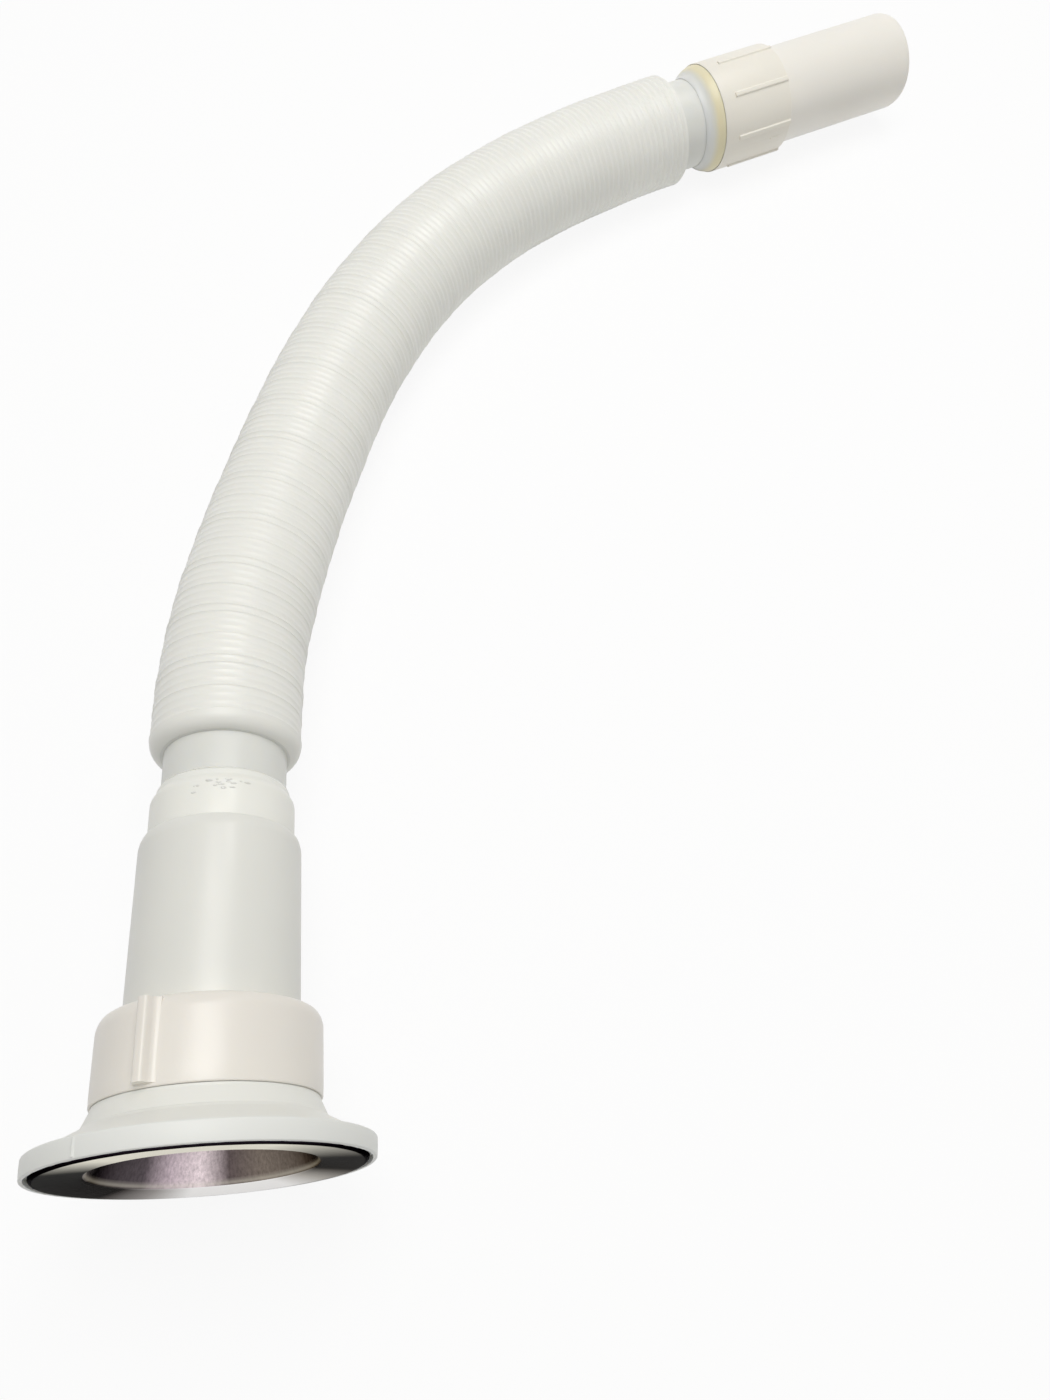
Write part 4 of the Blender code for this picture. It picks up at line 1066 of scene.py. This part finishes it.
def nut_rib(start, length, angle, height, half):
    """Unites one flat-topped rib with the ribbed nut."""
    side = [
        (RIBBED_R - 0.6 * MM, half + 0.5 * MM, 0.0),
        (RIBBED_R - 0.03 * MM, half + 0.5 * MM, 0.0),
        (RIBBED_R + 0.05 * MM, half + 0.1 * MM, 0.2 * MM),
        (RIBBED_R + height, half - 0.1 * MM, 0.3 * height),
    ]
    section = [(r, -t, c) for r, t, c in side] + side[::-1]
    combine(ribbed, bar("rib", section, start, length, angle, 0.3 * height), "UNION")


for i in range(RIBS):
    nut_rib(RIB_START, RIBBED_END - RIB_START - 0.3 * MM, RIB_ANGLE + 45 * i, 0.68 * MM, 0.9 * MM)
nut_rib(41.5 * MM, 3.8 * MM, 7.5, 0.3 * MM, 0.35 * MM)
settle(ribbed, outlet, sharp=30)
dress(ribbed, outlet_cream, "cream_plastic", "outlet_nut", "outlet_union_nut")

# %% Spigot
spigot_size = outlet.measure("outlet_spigot")
SPIGOT_R = 20.0 * MM
spigot = turned("spigot_tube", [
    (spigot_size["inner"], spigot_size["start"], 0.2 * MM),
    (spigot_size["outer"], spigot_size["start"], 0.2 * MM),
    (spigot_size["outer"], spigot_size["start"] + 2.2 * MM, 0.2 * MM),
    (SPIGOT_R, spigot_size["start"] + 2.2 * MM, 0.3 * MM),
    (SPIGOT_R, spigot_size["end"] - 2.2 * MM, 0.25 * MM),
    (SPIGOT_R - 0.75 * MM, spigot_size["end"], 0.35 * MM),
    (spigot_size["inner"], spigot_size["end"], 0.3 * MM),
])
settle(spigot, outlet, sharp=25)
dress(spigot, spigot_ivory, "ivory_plastic", "outlet_end", "outlet_spigot")

# %% [markdown]
# ## Inner pieces
#
# The seals, the slip washers and the brass insert keep the shapes that the frame gives them. They only get finishes.

# %% Finishes of the inner pieces
rubber = plastic("seal_rubber", (0.035, 0.035, 0.037), roughness=0.7, milk=0.0, grain=0.35)
washer_white = plastic("washer_white", (0.80, 0.81, 0.79), roughness=0.5, milk=0.05)
brass = plastic("turned_brass", (0.72, 0.50, 0.20), roughness=0.3, milk=0.0, grain=0.2)
brass.node_tree.nodes["Principled BSDF"].inputs["Metallic"].default_value = 1.0
for name, finish in (
    ("sink_seal", rubber),
    ("outlet_seal", rubber),
    ("sink_slip_washer", washer_white),
    ("outlet_slip_washer", washer_white),
    ("screw_insert", brass),
):
    nodes[name].data.materials.clear()
    nodes[name].data.materials.append(finish)
    print(name, "gets", finish.name)

# %% [markdown]
# ## The soft hose
#
# The hose is the soft part of this object.

# %% [markdown]
# ## The floor and the light
#
# The table is a plain pale floor. To the camera it is nearly white whatever falls on it, with just enough of the true
# shading mixed in to keep the pipe's soft shadow. One broad lamp stands at the upper left, as the photographed
# highlights say, and the world fills the rest.

# %% Floor, lamp and world
bpy.ops.object.select_all(action="DESELECT")
bpy.ops.mesh.primitive_plane_add(size=6.0, location=(0, 0, -0.05 * MM))
floor = bpy.context.object
floor.name = "floor"
floor_paint = bpy.data.materials.new("floor_paint")
floor_paint.use_nodes = True
tree = floor_paint.node_tree
shader = tree.nodes["Principled BSDF"]
shader.inputs["Base Color"].default_value = (0.86, 0.86, 0.86, 1.0)
shader.inputs["Roughness"].default_value = 0.8
glow = add_node(tree, "ShaderNodeEmission", (0, -300), Strength=1.0)
rays = add_node(tree, "ShaderNodeLightPath", (-400, -500))


def seen_rays(tree, rays, strength):
    """Full strength for camera, glossy and transmitted rays, so that shiny pieces show the same background."""
    total = add_node(tree, "ShaderNodeMath", (-300, -500))
    total.operation = "ADD"
    tree.links.new(rays.outputs["Is Camera Ray"], total.inputs[0])
    tree.links.new(rays.outputs["Is Glossy Ray"], total.inputs[1])
    every = add_node(tree, "ShaderNodeMath", (-200, -500))
    every.operation = "ADD"
    every.use_clamp = True
    tree.links.new(total.outputs["Value"], every.inputs[0])
    tree.links.new(rays.outputs["Is Transmission Ray"], every.inputs[1])
    share = add_node(tree, "ShaderNodeMath", (-100, -500))
    share.operation = "MULTIPLY"
    share.inputs[1].default_value = strength
    tree.links.new(every.outputs["Value"], share.inputs[0])
    return share


share = seen_rays(tree, rays, 0.90)
blend = add_node(tree, "ShaderNodeMixShader", (250, 0))
tree.links.new(share.outputs["Value"], blend.inputs["Fac"])
tree.links.new(shader.outputs["BSDF"], blend.inputs[1])
tree.links.new(glow.outputs["Emission"], blend.inputs[2])
tree.links.new(blend.outputs["Shader"], tree.nodes["Material Output"].inputs["Surface"])
floor.data.materials.append(floor_paint)


def area_lamp(name, place, aim, size, power, colour=(1, 1, 1)):
    data = bpy.data.lights.new(name, "AREA")
    data.size = size
    data.energy = power
    data.color = colour
    lamp = bpy.data.objects.new(name, data)
    bpy.context.scene.collection.objects.link(lamp)
    lamp.location = place
    lamp.rotation_euler = (Vector(aim) - Vector(place)).to_track_quat("-Z", "Y").to_euler()


area_lamp("window", (0.06, 0.12, 1.25), (0, 0, 0), 0.7, 8.9, (1.0, 0.99, 0.97))
area_lamp("ceiling_lamp", (0.30, 0.50, 0.85), (-0.13, -0.15, 0.05), 0.16, 0.9, (1.0, 0.99, 0.97))
world = bpy.data.worlds.new("room")
bpy.context.scene.world = world
world.use_nodes = True
tree = world.node_tree
room_light = tree.nodes["Background"]
room_light.inputs["Color"].default_value = (1.0, 0.995, 0.98, 1.0)
room_light.inputs["Strength"].default_value = 0.36
white_wall = add_node(tree, "ShaderNodeBackground", (0, -300), Strength=1.0)
white_wall.inputs["Color"].default_value = (1.0, 1.0, 1.0, 1.0)
share = seen_rays(tree, add_node(tree, "ShaderNodeLightPath", (-400, -500)), 1.0)
blend = add_node(tree, "ShaderNodeMixShader", (250, 0))
tree.links.new(share.outputs["Value"], blend.inputs["Fac"])
tree.links.new(room_light.outputs["Background"], blend.inputs[1])
tree.links.new(white_wall.outputs["Background"], blend.inputs[2])
tree.links.new(blend.outputs["Shader"], tree.nodes["World Output"].inputs["Surface"])
bpy.context.scene.view_settings.view_transform = "Standard"
